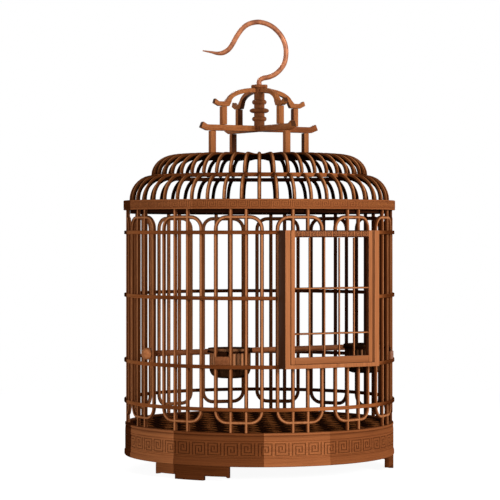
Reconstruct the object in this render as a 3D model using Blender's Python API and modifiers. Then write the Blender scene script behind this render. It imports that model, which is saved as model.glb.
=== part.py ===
"""Round bamboo bird cage with a two-step dome, a post-and-beam crown, a swivel hook,
a lift-up door, three bracket feet, a perch and two lift-out feeding cups.

Metres, +Z up. The origin is on the floor, under the cage's vertical axis, and the door faces -Y.
An angle round the cage is measured from the door, positive towards +X.
"""

import math

import bmesh
import bpy
from mathutils import Matrix, Vector

# Clearances and mesh fineness
GAP = 0.0003
OVERRUN = 0.004
MERGE = 0.00002
RING_STEPS = 56
TURNED_STEPS = 18
CUP_STEPS = 20
BALL_STEPS = 12
LOBE_STEPS = 8
SHARP_ANGLE = 40

# Cage wall: upright bars, grouped as a closed loop round two straight bars
BAR_RING_RADIUS = 0.1597
BAR_DIAMETER = 0.0042
GROUP_COUNT = 14
BARS_PER_GROUP = 4
LOOP_TOP_RISE = 0.0176
LOOP_BOTTOM_RISE = 0.0116
LOOP_CORNER_RADIUS = 0.0135
LOOP_CORNER_STEPS = 2
LOOP_CROSS_STEPS = 2

# Hoops tied round the outside of the bars
HOOP_THICKNESS = 0.0021
HOOP_HEIGHT = 0.0044
BASE_HOOP_HEIGHT = 0.0823
LOWER_HOOP_HEIGHT = 0.1310
MIDDLE_HOOP_HEIGHT = 0.2096
UPPER_HOOP_HEIGHT = 0.2850

# Base ring, its ledge and the woven floor
FOOT_HEIGHT = 0.0170
BASE_HEIGHT = 0.0385
BASE_OUTSET = 0.0033
BASE_WALL = 0.0090
BASE_FOOT_BEAD = 0.0010
BASE_FOOT_BEAD_HEIGHT = 0.0060
LEDGE_WIDTH = 0.0070
LEDGE_HEIGHT = 0.0060
FLOOR_THICKNESS = 0.0032
FLOOR_SINK = 0.0012

# Bracket feet
FOOT_COUNT = 3
FOOT_FIRST_ANGLE = -60
FOOT_HALF_ANGLE = 17.8
FOOT_TAB_HALF_ANGLE = 6.8
FOOT_THICKNESS = 0.0058
FOOT_WING_LIFT = 0.0055
FOOT_SPUR_HALF_ANGLE = 0.7
FOOT_SPUR_DROP = 0.0014
FOOT_STEPS = 3

# Band between the wall and the dome
BAND_WALL = 0.0029
BAND_RISE = 0.0270
BAND_HEIGHT = 0.0115
BAND_FLANGE_THICKNESS = 0.0030
BAND_FLANGE_WIDTH = 0.0130

# Dome ribs: a lower quarter round up to the shoulder hoop, an upper one in to the hub
RIB_COUNT = 48
RIB_DIAMETER = 0.0042
RIB_FOOT_INSET = 0.0038
SHOULDER_INSET = 0.0239
SHOULDER_WIDTH = 0.0056
SHOULDER_HEIGHT = 0.0048
SHOULDER_RISE = 0.0286
UPPER_DOME_RISE = 0.0229
UPPER_DOME_INSET = 0.0320
HUB_RADIUS = 0.0340
HUB_THICKNESS = 0.0052
RIB_ARC_STEPS = 3

# Crown: four posts and beams, a second tier of posts and swan-neck arms
CROWN_ARM_COUNT = 4
POST_SIDE = 0.0070
LOWER_POST_RADIUS = 0.0652
LOWER_POST_LENGTH = 0.0274
BEAM_WIDTH = 0.0070
BEAM_DEPTH = 0.0072
BEAM_REACH = 0.0820
BEAM_TIP_LENGTH = 0.0090
BEAM_TIP_RISE = 0.0034
BEAM_TIP_SLANT = 0.0030
UPPER_POST_RADIUS = 0.0500
UPPER_POST_LENGTH = 0.0220
ARM_WIDTH = 0.0060
ARM_DEPTH = 0.0056
ARM_REACH = 0.0640
ARM_RISE = 0.0176
ARM_BEND_RADIUS = 0.0400
ARM_TIP_RISE = 0.0034
ARM_STEPS = 4
ARM_SHOULDER_STOP = 14
ARM_TIP_SHARE = 1 / 3

# Turned spindle in the middle of the crown
SPINDLE_RADIUS = 0.0064
SPINDLE_HEIGHT = 0.0530
SPINDLE_BEAD_RADIUS = 0.0089
SPINDLE_BEAD_HALF_HEIGHT = 0.0023
SPINDLE_DISC_RADIUS = 0.0119
SPINDLE_DISC_HALF_HEIGHT = 0.0021
LOWER_BEAD_RISE = 0.0156
DISC_RISE = 0.0256
UPPER_BEAD_RISE = 0.0360
CAP_RADIUS = 0.0102
CAP_THICKNESS = 0.0039
CAP_LOBES = 4
CAP_LOBE_RADIUS = 0.0042

# Swivel hook
HOOK_RADIUS = 0.0031
HOOK_TIP_RADIUS = 0.0007
HOOK_CLEARANCE = 0.0004
HOOK_HEAD_RADIUS = 0.0045
HOOK_HEAD_HEIGHT = 0.0040
HOOK_HEAD_DEPTH = 0.0150
HOOK_ANGLE = 60
HOOK_RISE = 0.0764
# The bent wire as (across, up) from the top of the collar on the axis, in shares of its rise,
# chosen by hand
HOOK_ROUTE_SHARES = (
    (0, 0.0079), (-0.0052, 0.0393), (0.0131, 0.0785), (0.0681, 0.1073), (0.1558, 0.1243),
    (0.2618, 0.1754), (0.3469, 0.2592), (0.4058, 0.3639), (0.4267, 0.5105), (0.411, 0.6414),
    (0.356, 0.7683), (0.2814, 0.8613), (0.195, 0.9332), (0.0877, 0.9817), (-0.034, 1),
    (-0.1728, 0.9673), (-0.2749, 0.8901), (-0.3613, 0.7683), (-0.4228, 0.6571), (-0.483, 0.5707),
    (-0.5694, 0.5131), (-0.661, 0.5), (-0.7592, 0.5183), (-0.9031, 0.5432),
)
HOOK_TAPER_POINTS = 3

# Door: a leaf that lifts in the grooves of a frame open at the top
DOOR_WIDTH_SHARE = 0.39762
DOOR_STANDOFF = 0.0042
DOOR_STILE_WIDTH = 0.0066
DOOR_STILE_DEPTH = 0.0146
DOOR_RAIL_HEIGHT = 0.0046
DOOR_RAIL_DEPTH = 0.0045
DOOR_BOTTOM_DROP = 0.0014
DOOR_TOP_RISE = 0.0025
DOOR_LIP = 0.0010
DOOR_GROOVE_DEPTH = 0.0034
LEAF_THICKNESS = 0.0026
LEAF_STILE_WIDTH = 0.0102
LEAF_TOP_RAIL = 0.0082
LEAF_BOTTOM_RAIL = 0.0080
LEAF_BAR_COUNT = 4
LEAF_BAR_PITCH = 0.0200
LEAF_BAR_SIDE = 0.0024
LEAF_CROSS_SHARES = (0.19518, 0.57383)

# Perch, held by its ball ends between two bars on each side
PERCH_RISE = 0.0120
PERCH_DIAMETER = 0.0070
PERCH_BAY = 13
PERCH_BALL_STANDOFF = 0.0030
PERCH_PEG_RADIUS = 0.0022

# Feeding cups in ring brackets
CUP_ANGLES = {"left": -45, "right": 45}
CUP_RADIUS = 0.0240
CUP_DEPTH = 0.0345
CUP_WALL = 0.0026
CUP_RIM_WIDTH = 0.0016
CUP_RIM_HEIGHT = 0.0030
CUP_CORNER = 0.0110
CUP_CORNER_STEPS = 2
BRACKET_RING_WIDTH = 0.0020
BRACKET_RING_HEIGHT = 0.0045
BRACKET_PLATE_WIDTH = 0.0172
BRACKET_PLATE_HEIGHT = 0.0095
BRACKET_PLATE_THICKNESS = 0.0026
BRACKET_TONGUE_WIDTH = 0.0090
BRACKET_RING_RISE = 0.0050

# Places worked out from the sizes
BAR_RADIUS = BAR_DIAMETER / 2
RIB_RADIUS = RIB_DIAMETER / 2
BAR_COUNT = GROUP_COUNT * BARS_PER_GROUP
BAR_PITCH = 360 / BAR_COUNT
GROUP_PITCH = 360 / GROUP_COUNT
LEG_OFFSET = BAR_PITCH * (BARS_PER_GROUP - 1) / 2
STRAIGHT_OFFSET = BAR_PITCH / 2
LOOP_TOP = UPPER_HOOP_HEIGHT + LOOP_TOP_RISE
HOOP_INNER = BAR_RING_RADIUS + BAR_RADIUS + GAP
HOOP_OUTER = HOOP_INNER + HOOP_THICKNESS
BASE_BOTTOM = FOOT_HEIGHT
BASE_TOP = BASE_BOTTOM + BASE_HEIGHT
BASE_RADIUS = BAR_RING_RADIUS + BASE_OUTSET
BASE_INNER = BASE_RADIUS - BASE_WALL
BAR_FOOT = BASE_TOP + GAP
LOOP_BOTTOM = BASE_TOP + LOOP_BOTTOM_RISE
BAND_BOTTOM = UPPER_HOOP_HEIGHT + BAND_RISE
BAND_TOP = BAND_BOTTOM + BAND_HEIGHT
BAND_INNER = BAR_RING_RADIUS + BAR_RADIUS + GAP
BAND_RADIUS = BAND_INNER + BAND_WALL
BAR_HEAD = BAND_TOP - BAND_FLANGE_THICKNESS - GAP
FLOOR_TOP = BASE_TOP - FLOOR_SINK
FLOOR_BOTTOM = FLOOR_TOP - FLOOR_THICKNESS
LEDGE_TOP = FLOOR_BOTTOM - GAP
RIB_FOOT_RADIUS = BAR_RING_RADIUS - RIB_FOOT_INSET
SHOULDER_RADIUS = RIB_FOOT_RADIUS - SHOULDER_INSET
UPPER_DOME_FLAT_RADIUS = SHOULDER_RADIUS - UPPER_DOME_INSET
SHOULDER_MIDDLE = BAND_TOP + SHOULDER_RISE
SHOULDER_TOP = SHOULDER_MIDDLE + SHOULDER_HEIGHT / 2
SHOULDER_INNER = SHOULDER_RADIUS - SHOULDER_WIDTH
UPPER_RIB_RADIUS = SHOULDER_RADIUS - SHOULDER_WIDTH / 2
CROWN_PLANE = SHOULDER_TOP + UPPER_DOME_RISE
LOWER_POST_FOOT = CROWN_PLANE + RIB_RADIUS + GAP
BEAM_BOTTOM = LOWER_POST_FOOT + LOWER_POST_LENGTH + GAP
BEAM_TOP = BEAM_BOTTOM + BEAM_DEPTH
UPPER_POST_FOOT = BEAM_TOP + GAP
ARM_SEAT = UPPER_POST_FOOT + UPPER_POST_LENGTH + GAP
SPINDLE_BOTTOM = BEAM_BOTTOM
SPINDLE_TOP = SPINDLE_BOTTOM + SPINDLE_HEIGHT
CAP_BOTTOM = SPINDLE_TOP + GAP
CAP_TOP = CAP_BOTTOM + CAP_THICKNESS
BORE_RADIUS = HOOK_RADIUS + HOOK_CLEARANCE
CHAMBER_RADIUS = HOOK_HEAD_RADIUS + HOOK_CLEARANCE
HEAD_TOP = SPINDLE_TOP - HOOK_HEAD_DEPTH
HEAD_BOTTOM = HEAD_TOP - HOOK_HEAD_HEIGHT
DOOR_HALF_WIDTH = BAR_RING_RADIUS * DOOR_WIDTH_SHARE
DOOR_FRONT = BAND_RADIUS + DOOR_STANDOFF
LEAF_FRONT = DOOR_FRONT - DOOR_LIP - GAP
LEAF_BACK = LEAF_FRONT - LEAF_THICKNESS
DOOR_BOTTOM = LOWER_HOOP_HEIGHT - DOOR_BOTTOM_DROP
LEAF_BOTTOM = DOOR_BOTTOM + DOOR_RAIL_HEIGHT + GAP
LEAF_TOP = UPPER_HOOP_HEIGHT + DOOR_TOP_RISE
DOOR_OPENING = DOOR_HALF_WIDTH - DOOR_STILE_WIDTH
LEAF_HALF_WIDTH = DOOR_OPENING + DOOR_GROOVE_DEPTH - GAP
LEAF_INNER_HALF = LEAF_HALF_WIDTH - LEAF_STILE_WIDTH
CUP_RIM_RADIUS = CUP_RADIUS + CUP_RIM_WIDTH
BRACKET_RING_INNER = CUP_RADIUS + GAP
BRACKET_RING_OUTER = BRACKET_RING_INNER + BRACKET_RING_WIDTH
CUP_CENTRE = BAR_RING_RADIUS - BAR_RADIUS - GAP - BRACKET_RING_OUTER
PERCH_HEIGHT = LOWER_HOOP_HEIGHT + PERCH_RISE
PLATE_BOTTOM = LOWER_HOOP_HEIGHT + HOOP_HEIGHT / 2 + GAP
PLATE_TOP = PLATE_BOTTOM + BRACKET_PLATE_HEIGHT
RING_TOP = PLATE_TOP + BRACKET_RING_RISE
RING_BOTTOM = RING_TOP - BRACKET_RING_HEIGHT
CUP_RIM_BOTTOM = RING_TOP + GAP
CUP_TOP = CUP_RIM_BOTTOM + CUP_RIM_HEIGHT
CUP_BOTTOM = CUP_TOP - CUP_DEPTH

WOOD_LIGHT = (0.45, 0.17, 0.07, 1.0)
WOOD_MID = (0.36, 0.13, 0.05, 1.0)
WOOD_DARK = (0.10, 0.045, 0.02, 1.0)
CUP_BROWN = (0.12, 0.05, 0.03, 1.0)
HOOK_BROWN = (0.36, 0.14, 0.06, 1.0)
WOOD_ROUGHNESS = 0.45


def clear_scene():
    """Remove what the opened scene holds."""
    for thing in list(bpy.data.objects):
        bpy.data.objects.remove(thing, do_unlink=True)


def collection(name):
    """A new collection in the scene."""
    made = bpy.data.collections.new(name)
    bpy.context.scene.collection.children.link(made)
    return made


def finish(name):
    """A plain wood finish of the given name and colour."""
    colours = {"lacquered_bamboo": WOOD_LIGHT, "lacquered_wood": WOOD_MID,
               "woven_floor": WOOD_DARK, "cup_wood": CUP_BROWN, "hook_metal": HOOK_BROWN}
    material = bpy.data.materials.new(name)
    material.use_nodes = True
    shader = material.node_tree.nodes["Principled BSDF"]
    shader.inputs["Base Color"].default_value = colours[name]
    shader.inputs["Roughness"].default_value = WOOD_ROUGHNESS
    shader.inputs["Metallic"].default_value = 0
    return material


def dress(thing, slot):
    """Give an object its own material and put it among the cage's parts."""
    material = finish(slot)
    material.name = f"{thing.name}_{slot}"
    thing.data.materials.clear()
    thing.data.materials.append(material)
    for owner in list(thing.users_collection):
        owner.objects.unlink(thing)
    CAGE.objects.link(thing)
    thing.data.shade_smooth()
    thing.data.set_sharp_from_angle(angle=math.radians(SHARP_ANGLE))
    return thing


def mesh_object(name, work):
    """An object that holds the mesh built in a bmesh."""
    mesh = bpy.data.meshes.new(name)
    work.to_mesh(mesh)
    work.free()
    thing = bpy.data.objects.new(name, mesh)
    WORK.objects.link(thing)
    return thing


def baked(thing, name):
    """The object with its modifiers and transform worked into a plain mesh of welded points."""
    bpy.context.view_layer.update()
    graph = bpy.context.evaluated_depsgraph_get()
    mesh = bpy.data.meshes.new_from_object(thing.evaluated_get(graph))
    mesh.transform(thing.matrix_world)
    work = bmesh.new()
    work.from_mesh(mesh)
    bmesh.ops.remove_doubles(work, verts=work.verts, dist=MERGE)
    bpy.data.objects.remove(thing, do_unlink=True)
    return mesh_object(name, work)


def round_place(angle, radius, height):
    """The point at an angle from the door, a radius and a height."""
    turn = math.radians(angle)
    return Vector((radius * math.sin(turn), -radius * math.cos(turn), height))


def tube(name, points, radius, closed=False, tapers=None, sides_level=1):
    """A round bar along a row of points, with flat ends."""
    curve = bpy.data.curves.new(name, "CURVE")
    curve.dimensions = "3D"
    curve.bevel_depth = radius
    curve.bevel_resolution = sides_level
    curve.use_fill_caps = not closed
    spline = curve.splines.new("POLY")
    spline.points.add(len(points) - 1)
    for place, point in zip(spline.points, points):
        place.co = (*point, 1)
    if tapers:
        for place, share in zip(spline.points, tapers):
            place.radius = share
    spline.use_cyclic_u = closed
    thing = bpy.data.objects.new(name, curve)
    WORK.objects.link(thing)
    return baked(thing, name)


def block(name, low, high):
    """A box between two corners."""
    work = bmesh.new()
    bmesh.ops.create_cube(work, size=1)
    low, high = Vector(low), Vector(high)
    size = high - low
    bmesh.ops.scale(work, vec=size, verts=work.verts)
    bmesh.ops.translate(work, vec=(low + high) / 2, verts=work.verts)
    return mesh_object(name, work)


def turned(name, profile, steps, closed_profile):
    """A shape turned about Z from (radius, height) points that run down the outer side."""
    work = bmesh.new()
    corners = [work.verts.new((radius, 0, height)) for radius, height in profile]
    for first, second in zip(corners, corners[1:]):
        work.edges.new((first, second))
    if closed_profile:
        work.edges.new((corners[-1], corners[0]))
    thing = mesh_object(name, work)
    screw = thing.modifiers.new("Screw", "SCREW")
    screw.steps = steps
    screw.render_steps = steps
    screw.use_merge_vertices = True
    screw.merge_threshold = MERGE
    return baked(thing, name)


def bent_strip(name, inner, outer, bottom, top, angles, closed=False):
    """A flat strip bent round the cage's axis, with a corner at each angle."""
    work = bmesh.new()
    corners = [work.verts.new(round_place(angle, inner, bottom)) for angle in angles]
    for start, end in zip(corners, corners[1:]):
        work.edges.new((start, end))
    if closed:
        work.edges.new((corners[-1], corners[0]))
    raised = bmesh.ops.extrude_edge_only(work, edges=work.edges)["geom"]
    lifted = [item for item in raised if isinstance(item, bmesh.types.BMVert)]
    bmesh.ops.translate(work, vec=(0, 0, top - bottom), verts=lifted)
    for face in work.faces:
        middle = face.calc_center_median()
        face.normal_update()
        if face.normal.x * middle.x + face.normal.y * middle.y < 0:
            face.normal_flip()
    thing = mesh_object(name, work)
    wall = thing.modifiers.new("Solidify", "SOLIDIFY")
    wall.thickness = outer - inner
    wall.offset = 1
    wall.use_even_offset = True
    return baked(thing, name)


def outline_board(name, outline, thickness):
    """A flat board cut to (along, up) points in the XZ plane, centred on y 0."""
    curve = bpy.data.curves.new(name, "CURVE")
    curve.dimensions = "2D"
    curve.fill_mode = "BOTH"
    curve.extrude = thickness / 2
    spline = curve.splines.new("POLY")
    spline.points.add(len(outline) - 1)
    for place, point in zip(spline.points, outline):
        place.co = (point[0], point[1], 0, 1)
    spline.use_cyclic_u = True
    thing = bpy.data.objects.new(name, curve)
    WORK.objects.link(thing)
    thing.rotation_euler = (math.radians(90), 0, 0)
    return baked(thing, name)


def turned_to(thing, angle):
    """Turn an object that points along +X so that it points at an angle from the door."""
    thing.data.transform(Matrix.Rotation(math.radians(angle - 90), 4, "Z"))
    return thing


def combined(name, base, others, operation="UNION"):
    """One solid made from a base and other solids by Boolean."""
    hold = base
    for other in others:
        step = hold.modifiers.new("Boolean", "BOOLEAN")
        step.solver = "EXACT"
        step.operation = operation
        step.object = other
    result = baked(hold, name)
    for other in others:
        bpy.data.objects.remove(other, do_unlink=True)
    return result


def gathered(name, things):
    """Several meshes held in one object, each still a body of its own."""
    work = bmesh.new()
    for thing in things:
        work.from_mesh(thing.data)
        bpy.data.objects.remove(thing, do_unlink=True)
    return mesh_object(name, work)


def steps_between(first, last, steps):
    """Evenly spaced values from first to last."""
    return [first + (last - first) * index / steps for index in range(steps + 1)]


def quarter(centre, across, up, first, last, steps):
    """Points of an elliptical arc, as (radius, height), between two angles in degrees."""
    turns = [math.radians(value) for value in steps_between(first, last, steps)]
    return [(centre[0] + across * math.cos(turn), centre[1] + up * math.sin(turn)) for turn in turns]


def loop_route(centre_angle, first_leg, last_leg):
    """Points of a loop bar from one leg's side to the other, over the top or the bottom."""
    sense = 1 if last_leg > first_leg else -1
    corner_turn = sense * math.degrees(LOOP_CORNER_RADIUS / BAR_RING_RADIUS)

    def end(level, inward):
        rows = []
        for leg, toward in ((first_leg, 1), (last_leg, -1)):
            row = []
            for turn in steps_between(0, math.pi / 2, LOOP_CORNER_STEPS):
                angle = leg + toward * corner_turn * (1 - math.cos(turn))
                height = level + inward * LOOP_CORNER_RADIUS * (1 - math.sin(turn))
                row.append(round_place(centre_angle + angle, BAR_RING_RADIUS, height))
            rows.append(row)
        inner = steps_between(first_leg + corner_turn, last_leg - corner_turn, LOOP_CROSS_STEPS)[1:-1]
        middle = [round_place(centre_angle + angle, BAR_RING_RADIUS, level) for angle in inner]
        return rows[0] + middle + rows[1][::-1]

    return end(LOOP_TOP, -1), end(LOOP_BOTTOM, 1)


def upright(name, angle, bottom, top):
    """A straight bar of the wall."""
    ends = [round_place(angle, BAR_RING_RADIUS, bottom), round_place(angle, BAR_RING_RADIUS, top)]
    return tube(name, ends, BAR_RADIUS)


def lattice_panel(number):
    """A loop bar with the two straight bars that it crosses."""
    name = f"lattice_{number + 1:02d}"
    centre = GROUP_PITCH * (number + 0.5)
    over, under = loop_route(centre, -LEG_OFFSET, LEG_OFFSET)
    loop = tube(name, over + under[::-1], BAR_RADIUS, closed=True)
    straights = [upright(f"{name}_bar", centre + side * STRAIGHT_OFFSET, BAR_FOOT, BAR_HEAD)
                 for side in (-1, 1)]
    return dress(combined(name, loop, straights), "lacquered_bamboo")


def doorway_panel(number, side):
    """The loop beside the doorway: its far leg is whole, and the rest stops at the hoops."""
    name = f"lattice_{number + 1:02d}"
    centre = side * GROUP_PITCH / 2
    over, under = loop_route(centre, -side * LEG_OFFSET, side * LEG_OFFSET)
    stop_over = UPPER_HOOP_HEIGHT - HOOP_HEIGHT / 2
    stop_under = LOWER_HOOP_HEIGHT + HOOP_HEIGHT / 2
    near = centre - side * LEG_OFFSET
    route = [round_place(near, BAR_RING_RADIUS, stop_over)] + over + under[::-1]
    route.append(round_place(near, BAR_RING_RADIUS, stop_under))
    loop = tube(name, route, BAR_RADIUS)
    stubs = []
    for offset in (-STRAIGHT_OFFSET, STRAIGHT_OFFSET):
        stubs.append(upright(f"{name}_head", centre + offset, stop_over, BAR_HEAD))
        stubs.append(upright(f"{name}_foot", centre + offset, BAR_FOOT, stop_under))
    return dress(combined(name, loop, stubs), "lacquered_bamboo")


def wall():
    """All the bars of the wall."""
    doorway = {0: 1, GROUP_COUNT - 1: -1}
    for number in range(GROUP_COUNT):
        if number in doorway:
            doorway_panel(number, doorway[number])
        else:
            lattice_panel(number)


def hoops():
    """The four hoops round the bars; the middle one stops at the door frame."""
    levels = {"base_hoop": BASE_HOOP_HEIGHT, "lower_hoop": LOWER_HOOP_HEIGHT,
              "middle_hoop": MIDDLE_HOOP_HEIGHT, "upper_hoop": UPPER_HOOP_HEIGHT}
    stop = math.degrees(math.asin((DOOR_HALF_WIDTH + GAP) / HOOP_INNER))
    over_bars = [BAR_PITCH * (number + 0.5) for number in range(BAR_COUNT)]
    for name, level in levels.items():
        broken = name == "middle_hoop"
        angles = over_bars
        if broken:
            angles = [stop] + [angle for angle in over_bars if stop < angle < 360 - stop] + [360 - stop]
        low = level - HOOP_HEIGHT / 2
        strip = bent_strip(name, HOOP_INNER, HOOP_OUTER, low, low + HOOP_HEIGHT, angles, not broken)
        dress(strip, "lacquered_bamboo")


def base():
    """The base ring with its beads and ledge, and the woven floor on the ledge."""
    ledge_inner = BASE_INNER - LEDGE_WIDTH
    ledge_bottom = LEDGE_TOP - LEDGE_HEIGHT
    bead_top = BASE_BOTTOM + BASE_FOOT_BEAD_HEIGHT
    profile = [
        (BASE_RADIUS, BASE_TOP), (BASE_RADIUS, bead_top),
        (BASE_RADIUS + BASE_FOOT_BEAD, bead_top), (BASE_RADIUS + BASE_FOOT_BEAD, BASE_BOTTOM),
        (BASE_INNER, BASE_BOTTOM), (BASE_INNER, ledge_bottom), (ledge_inner, ledge_bottom),
        (ledge_inner, LEDGE_TOP), (BASE_INNER, LEDGE_TOP), (BASE_INNER, BASE_TOP),
    ]
    dress(turned("base_ring", profile, RING_STEPS, True), "lacquered_wood")
    edge = BASE_INNER - GAP
    sheet = [(0, FLOOR_TOP), (edge, FLOOR_TOP), (edge, FLOOR_BOTTOM), (0, FLOOR_BOTTOM)]
    dress(turned("woven_floor", sheet, RING_STEPS, False), "woven_floor")


def foot(name, angle):
    """A bracket foot: two wings with end spurs, and a deeper tab in the middle."""
    outer = BASE_RADIUS
    inner = outer - FOOT_THICKNESS
    top = BASE_BOTTOM - GAP

    def span(half, steps):
        return steps_between(angle - half, angle + half, steps)

    wings = bent_strip(name, inner, outer, FOOT_WING_LIFT, top, span(FOOT_HALF_ANGLE, FOOT_STEPS * 2))
    drops = [bent_strip(f"{name}_tab", inner, outer, 0, FOOT_WING_LIFT + OVERRUN,
                        span(FOOT_TAB_HALF_ANGLE, FOOT_STEPS))]
    spur_middle = FOOT_HALF_ANGLE - FOOT_SPUR_HALF_ANGLE
    for side in (-1, 1):
        middle = angle + side * spur_middle
        low = FOOT_WING_LIFT - FOOT_SPUR_DROP
        ends = (middle - FOOT_SPUR_HALF_ANGLE, middle + FOOT_SPUR_HALF_ANGLE)
        drops.append(bent_strip(f"{name}_spur", inner, outer, low, FOOT_WING_LIFT + OVERRUN, ends))
    dress(combined(name, wings, drops), "lacquered_wood")


def feet():
    """Three bracket feet under the base ring."""
    for number, name in enumerate(("foot_left", "foot_right", "foot_back")):
        foot(name, FOOT_FIRST_ANGLE + number * 360 / FOOT_COUNT)


def band():
    """The band over the bars' heads, with a flange that carries the ribs."""
    flange_bottom = BAND_TOP - BAND_FLANGE_THICKNESS
    flange_inner = BAND_RADIUS - BAND_FLANGE_WIDTH
    profile = [
        (BAND_RADIUS, BAND_TOP), (BAND_RADIUS, BAND_BOTTOM), (BAND_INNER, BAND_BOTTOM),
        (BAND_INNER, flange_bottom), (flange_inner, flange_bottom), (flange_inner, BAND_TOP),
    ]
    dress(turned("dome_band", profile, RING_STEPS, True), "lacquered_wood")


def rib_points(route, angle):
    """A rib's route of (radius, height) points at an angle round the cage."""
    return [round_place(angle, radius, height) for radius, height in route]


def standing_quarter(inner, outer, seat, crest):
    """A rib's quarter round, whose square-cut foot just clears the seat that it stands on."""
    step = math.radians(90 / RIB_ARC_STEPS)
    lean = math.atan2((outer - inner) * (1 - math.cos(step)), (crest - seat) * math.sin(step))
    start = seat + GAP + RIB_RADIUS * math.sin(lean)
    return quarter((inner, start), outer - inner, crest - start, 0, 90, RIB_ARC_STEPS)


def dome():
    """The ribs of both tiers with the shoulder hoop and the hub that hold them."""
    angles = [360 * number / RIB_COUNT for number in range(RIB_COUNT)]
    lower = standing_quarter(UPPER_RIB_RADIUS, RIB_FOOT_RADIUS, BAND_TOP, SHOULDER_MIDDLE)
    hoop = bent_strip("dome_lower_tier", SHOULDER_INNER, SHOULDER_RADIUS,
                      SHOULDER_TOP - SHOULDER_HEIGHT, SHOULDER_TOP, angles, closed=True)
    ribs = [tube("lower_rib", rib_points(lower, angle), RIB_RADIUS) for angle in angles]
    lower_tier = combined("dome_lower_tier", hoop, [gathered("lower_ribs", ribs)])
    dress(lower_tier, "lacquered_bamboo")
    upper = standing_quarter(UPPER_DOME_FLAT_RADIUS, UPPER_RIB_RADIUS, SHOULDER_TOP, CROWN_PLANE)
    upper.append((HUB_RADIUS - RIB_RADIUS / 2, CROWN_PLANE))
    half = HUB_THICKNESS / 2
    disc = [(0, CROWN_PLANE + half), (HUB_RADIUS, CROWN_PLANE + half),
            (HUB_RADIUS, CROWN_PLANE - half), (0, CROWN_PLANE - half)]
    hub = turned("dome_upper_tier", disc, RIB_COUNT, False)
    ribs = [tube("upper_rib", rib_points(upper, angle), RIB_RADIUS) for angle in angles]
    upper_tier = combined("dome_upper_tier", hub, [gathered("upper_ribs", ribs)])
    dress(upper_tier, "lacquered_bamboo")


def post(name, angle, radius, bottom, length):
    """A square post of the crown."""
    half = POST_SIDE / 2
    shape = block(name, (radius - half, -half, bottom), (radius + half, half, bottom + length))
    return dress(turned_to(shape, angle), "lacquered_wood")


def beam(name, angle):
    """A beam from the spindle out over its post, with an upturned end."""
    start = SPINDLE_RADIUS + GAP
    bend = BEAM_REACH - BEAM_TIP_LENGTH
    outline = [
        (start, BEAM_BOTTOM), (bend, BEAM_BOTTOM), (BEAM_REACH, BEAM_BOTTOM + BEAM_TIP_RISE),
        (BEAM_REACH - BEAM_TIP_SLANT, BEAM_TOP + BEAM_TIP_RISE), (bend, BEAM_TOP), (start, BEAM_TOP),
    ]
    return dress(turned_to(outline_board(name, outline, BEAM_WIDTH), angle), "lacquered_wood")


def arm(name, angle):
    """A swan-neck arm from the spindle's neck down to its post, with an upturned end."""
    start = SPINDLE_RADIUS + GAP
    heel = UPPER_POST_RADIUS - POST_SIDE
    tip = ARM_REACH - POST_SIDE
    outer = quarter((start, ARM_SEAT + ARM_DEPTH), ARM_BEND_RADIUS - start + ARM_DEPTH, ARM_RISE,
                    90, ARM_SHOULDER_STOP, ARM_STEPS)
    under = quarter((start, ARM_SEAT + ARM_DEPTH), ARM_BEND_RADIUS - start, ARM_RISE - ARM_DEPTH,
                    90, 0, ARM_STEPS)
    outline = outer + [(heel + ARM_DEPTH, ARM_SEAT + ARM_DEPTH), (tip, ARM_SEAT + ARM_DEPTH)]
    outline += [(ARM_REACH - ARM_DEPTH * ARM_TIP_SHARE, ARM_SEAT + ARM_DEPTH + ARM_TIP_RISE),
                (ARM_REACH, ARM_SEAT + ARM_TIP_RISE), (tip, ARM_SEAT), (heel, ARM_SEAT)]
    outline += under[::-1]
    return dress(turned_to(outline_board(name, outline, ARM_WIDTH), angle), "lacquered_wood")


def spindle():
    """The turned spindle, bored for the hook's stem and its head."""
    body = [(SPINDLE_RADIUS, SPINDLE_TOP)]
    swells = ((UPPER_BEAD_RISE, SPINDLE_BEAD_RADIUS, SPINDLE_BEAD_HALF_HEIGHT),
              (DISC_RISE, SPINDLE_DISC_RADIUS, SPINDLE_DISC_HALF_HEIGHT),
              (LOWER_BEAD_RISE, SPINDLE_BEAD_RADIUS, SPINDLE_BEAD_HALF_HEIGHT))
    for rise, radius, half in swells:
        middle = SPINDLE_BOTTOM + rise
        body += [(SPINDLE_RADIUS, middle + half), (radius, middle + half / 2),
                 (radius, middle - half / 2), (SPINDLE_RADIUS, middle - half)]
    body += [(SPINDLE_RADIUS, SPINDLE_BOTTOM), (0, SPINDLE_BOTTOM)]
    room = HOOK_CLEARANCE
    bore = [(0, HEAD_BOTTOM - room), (CHAMBER_RADIUS, HEAD_BOTTOM - room),
            (CHAMBER_RADIUS, HEAD_TOP + room), (BORE_RADIUS, HEAD_TOP + room), (BORE_RADIUS, SPINDLE_TOP)]
    dress(turned("crown_spindle", body + bore, TURNED_STEPS, True), "lacquered_wood")


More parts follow.
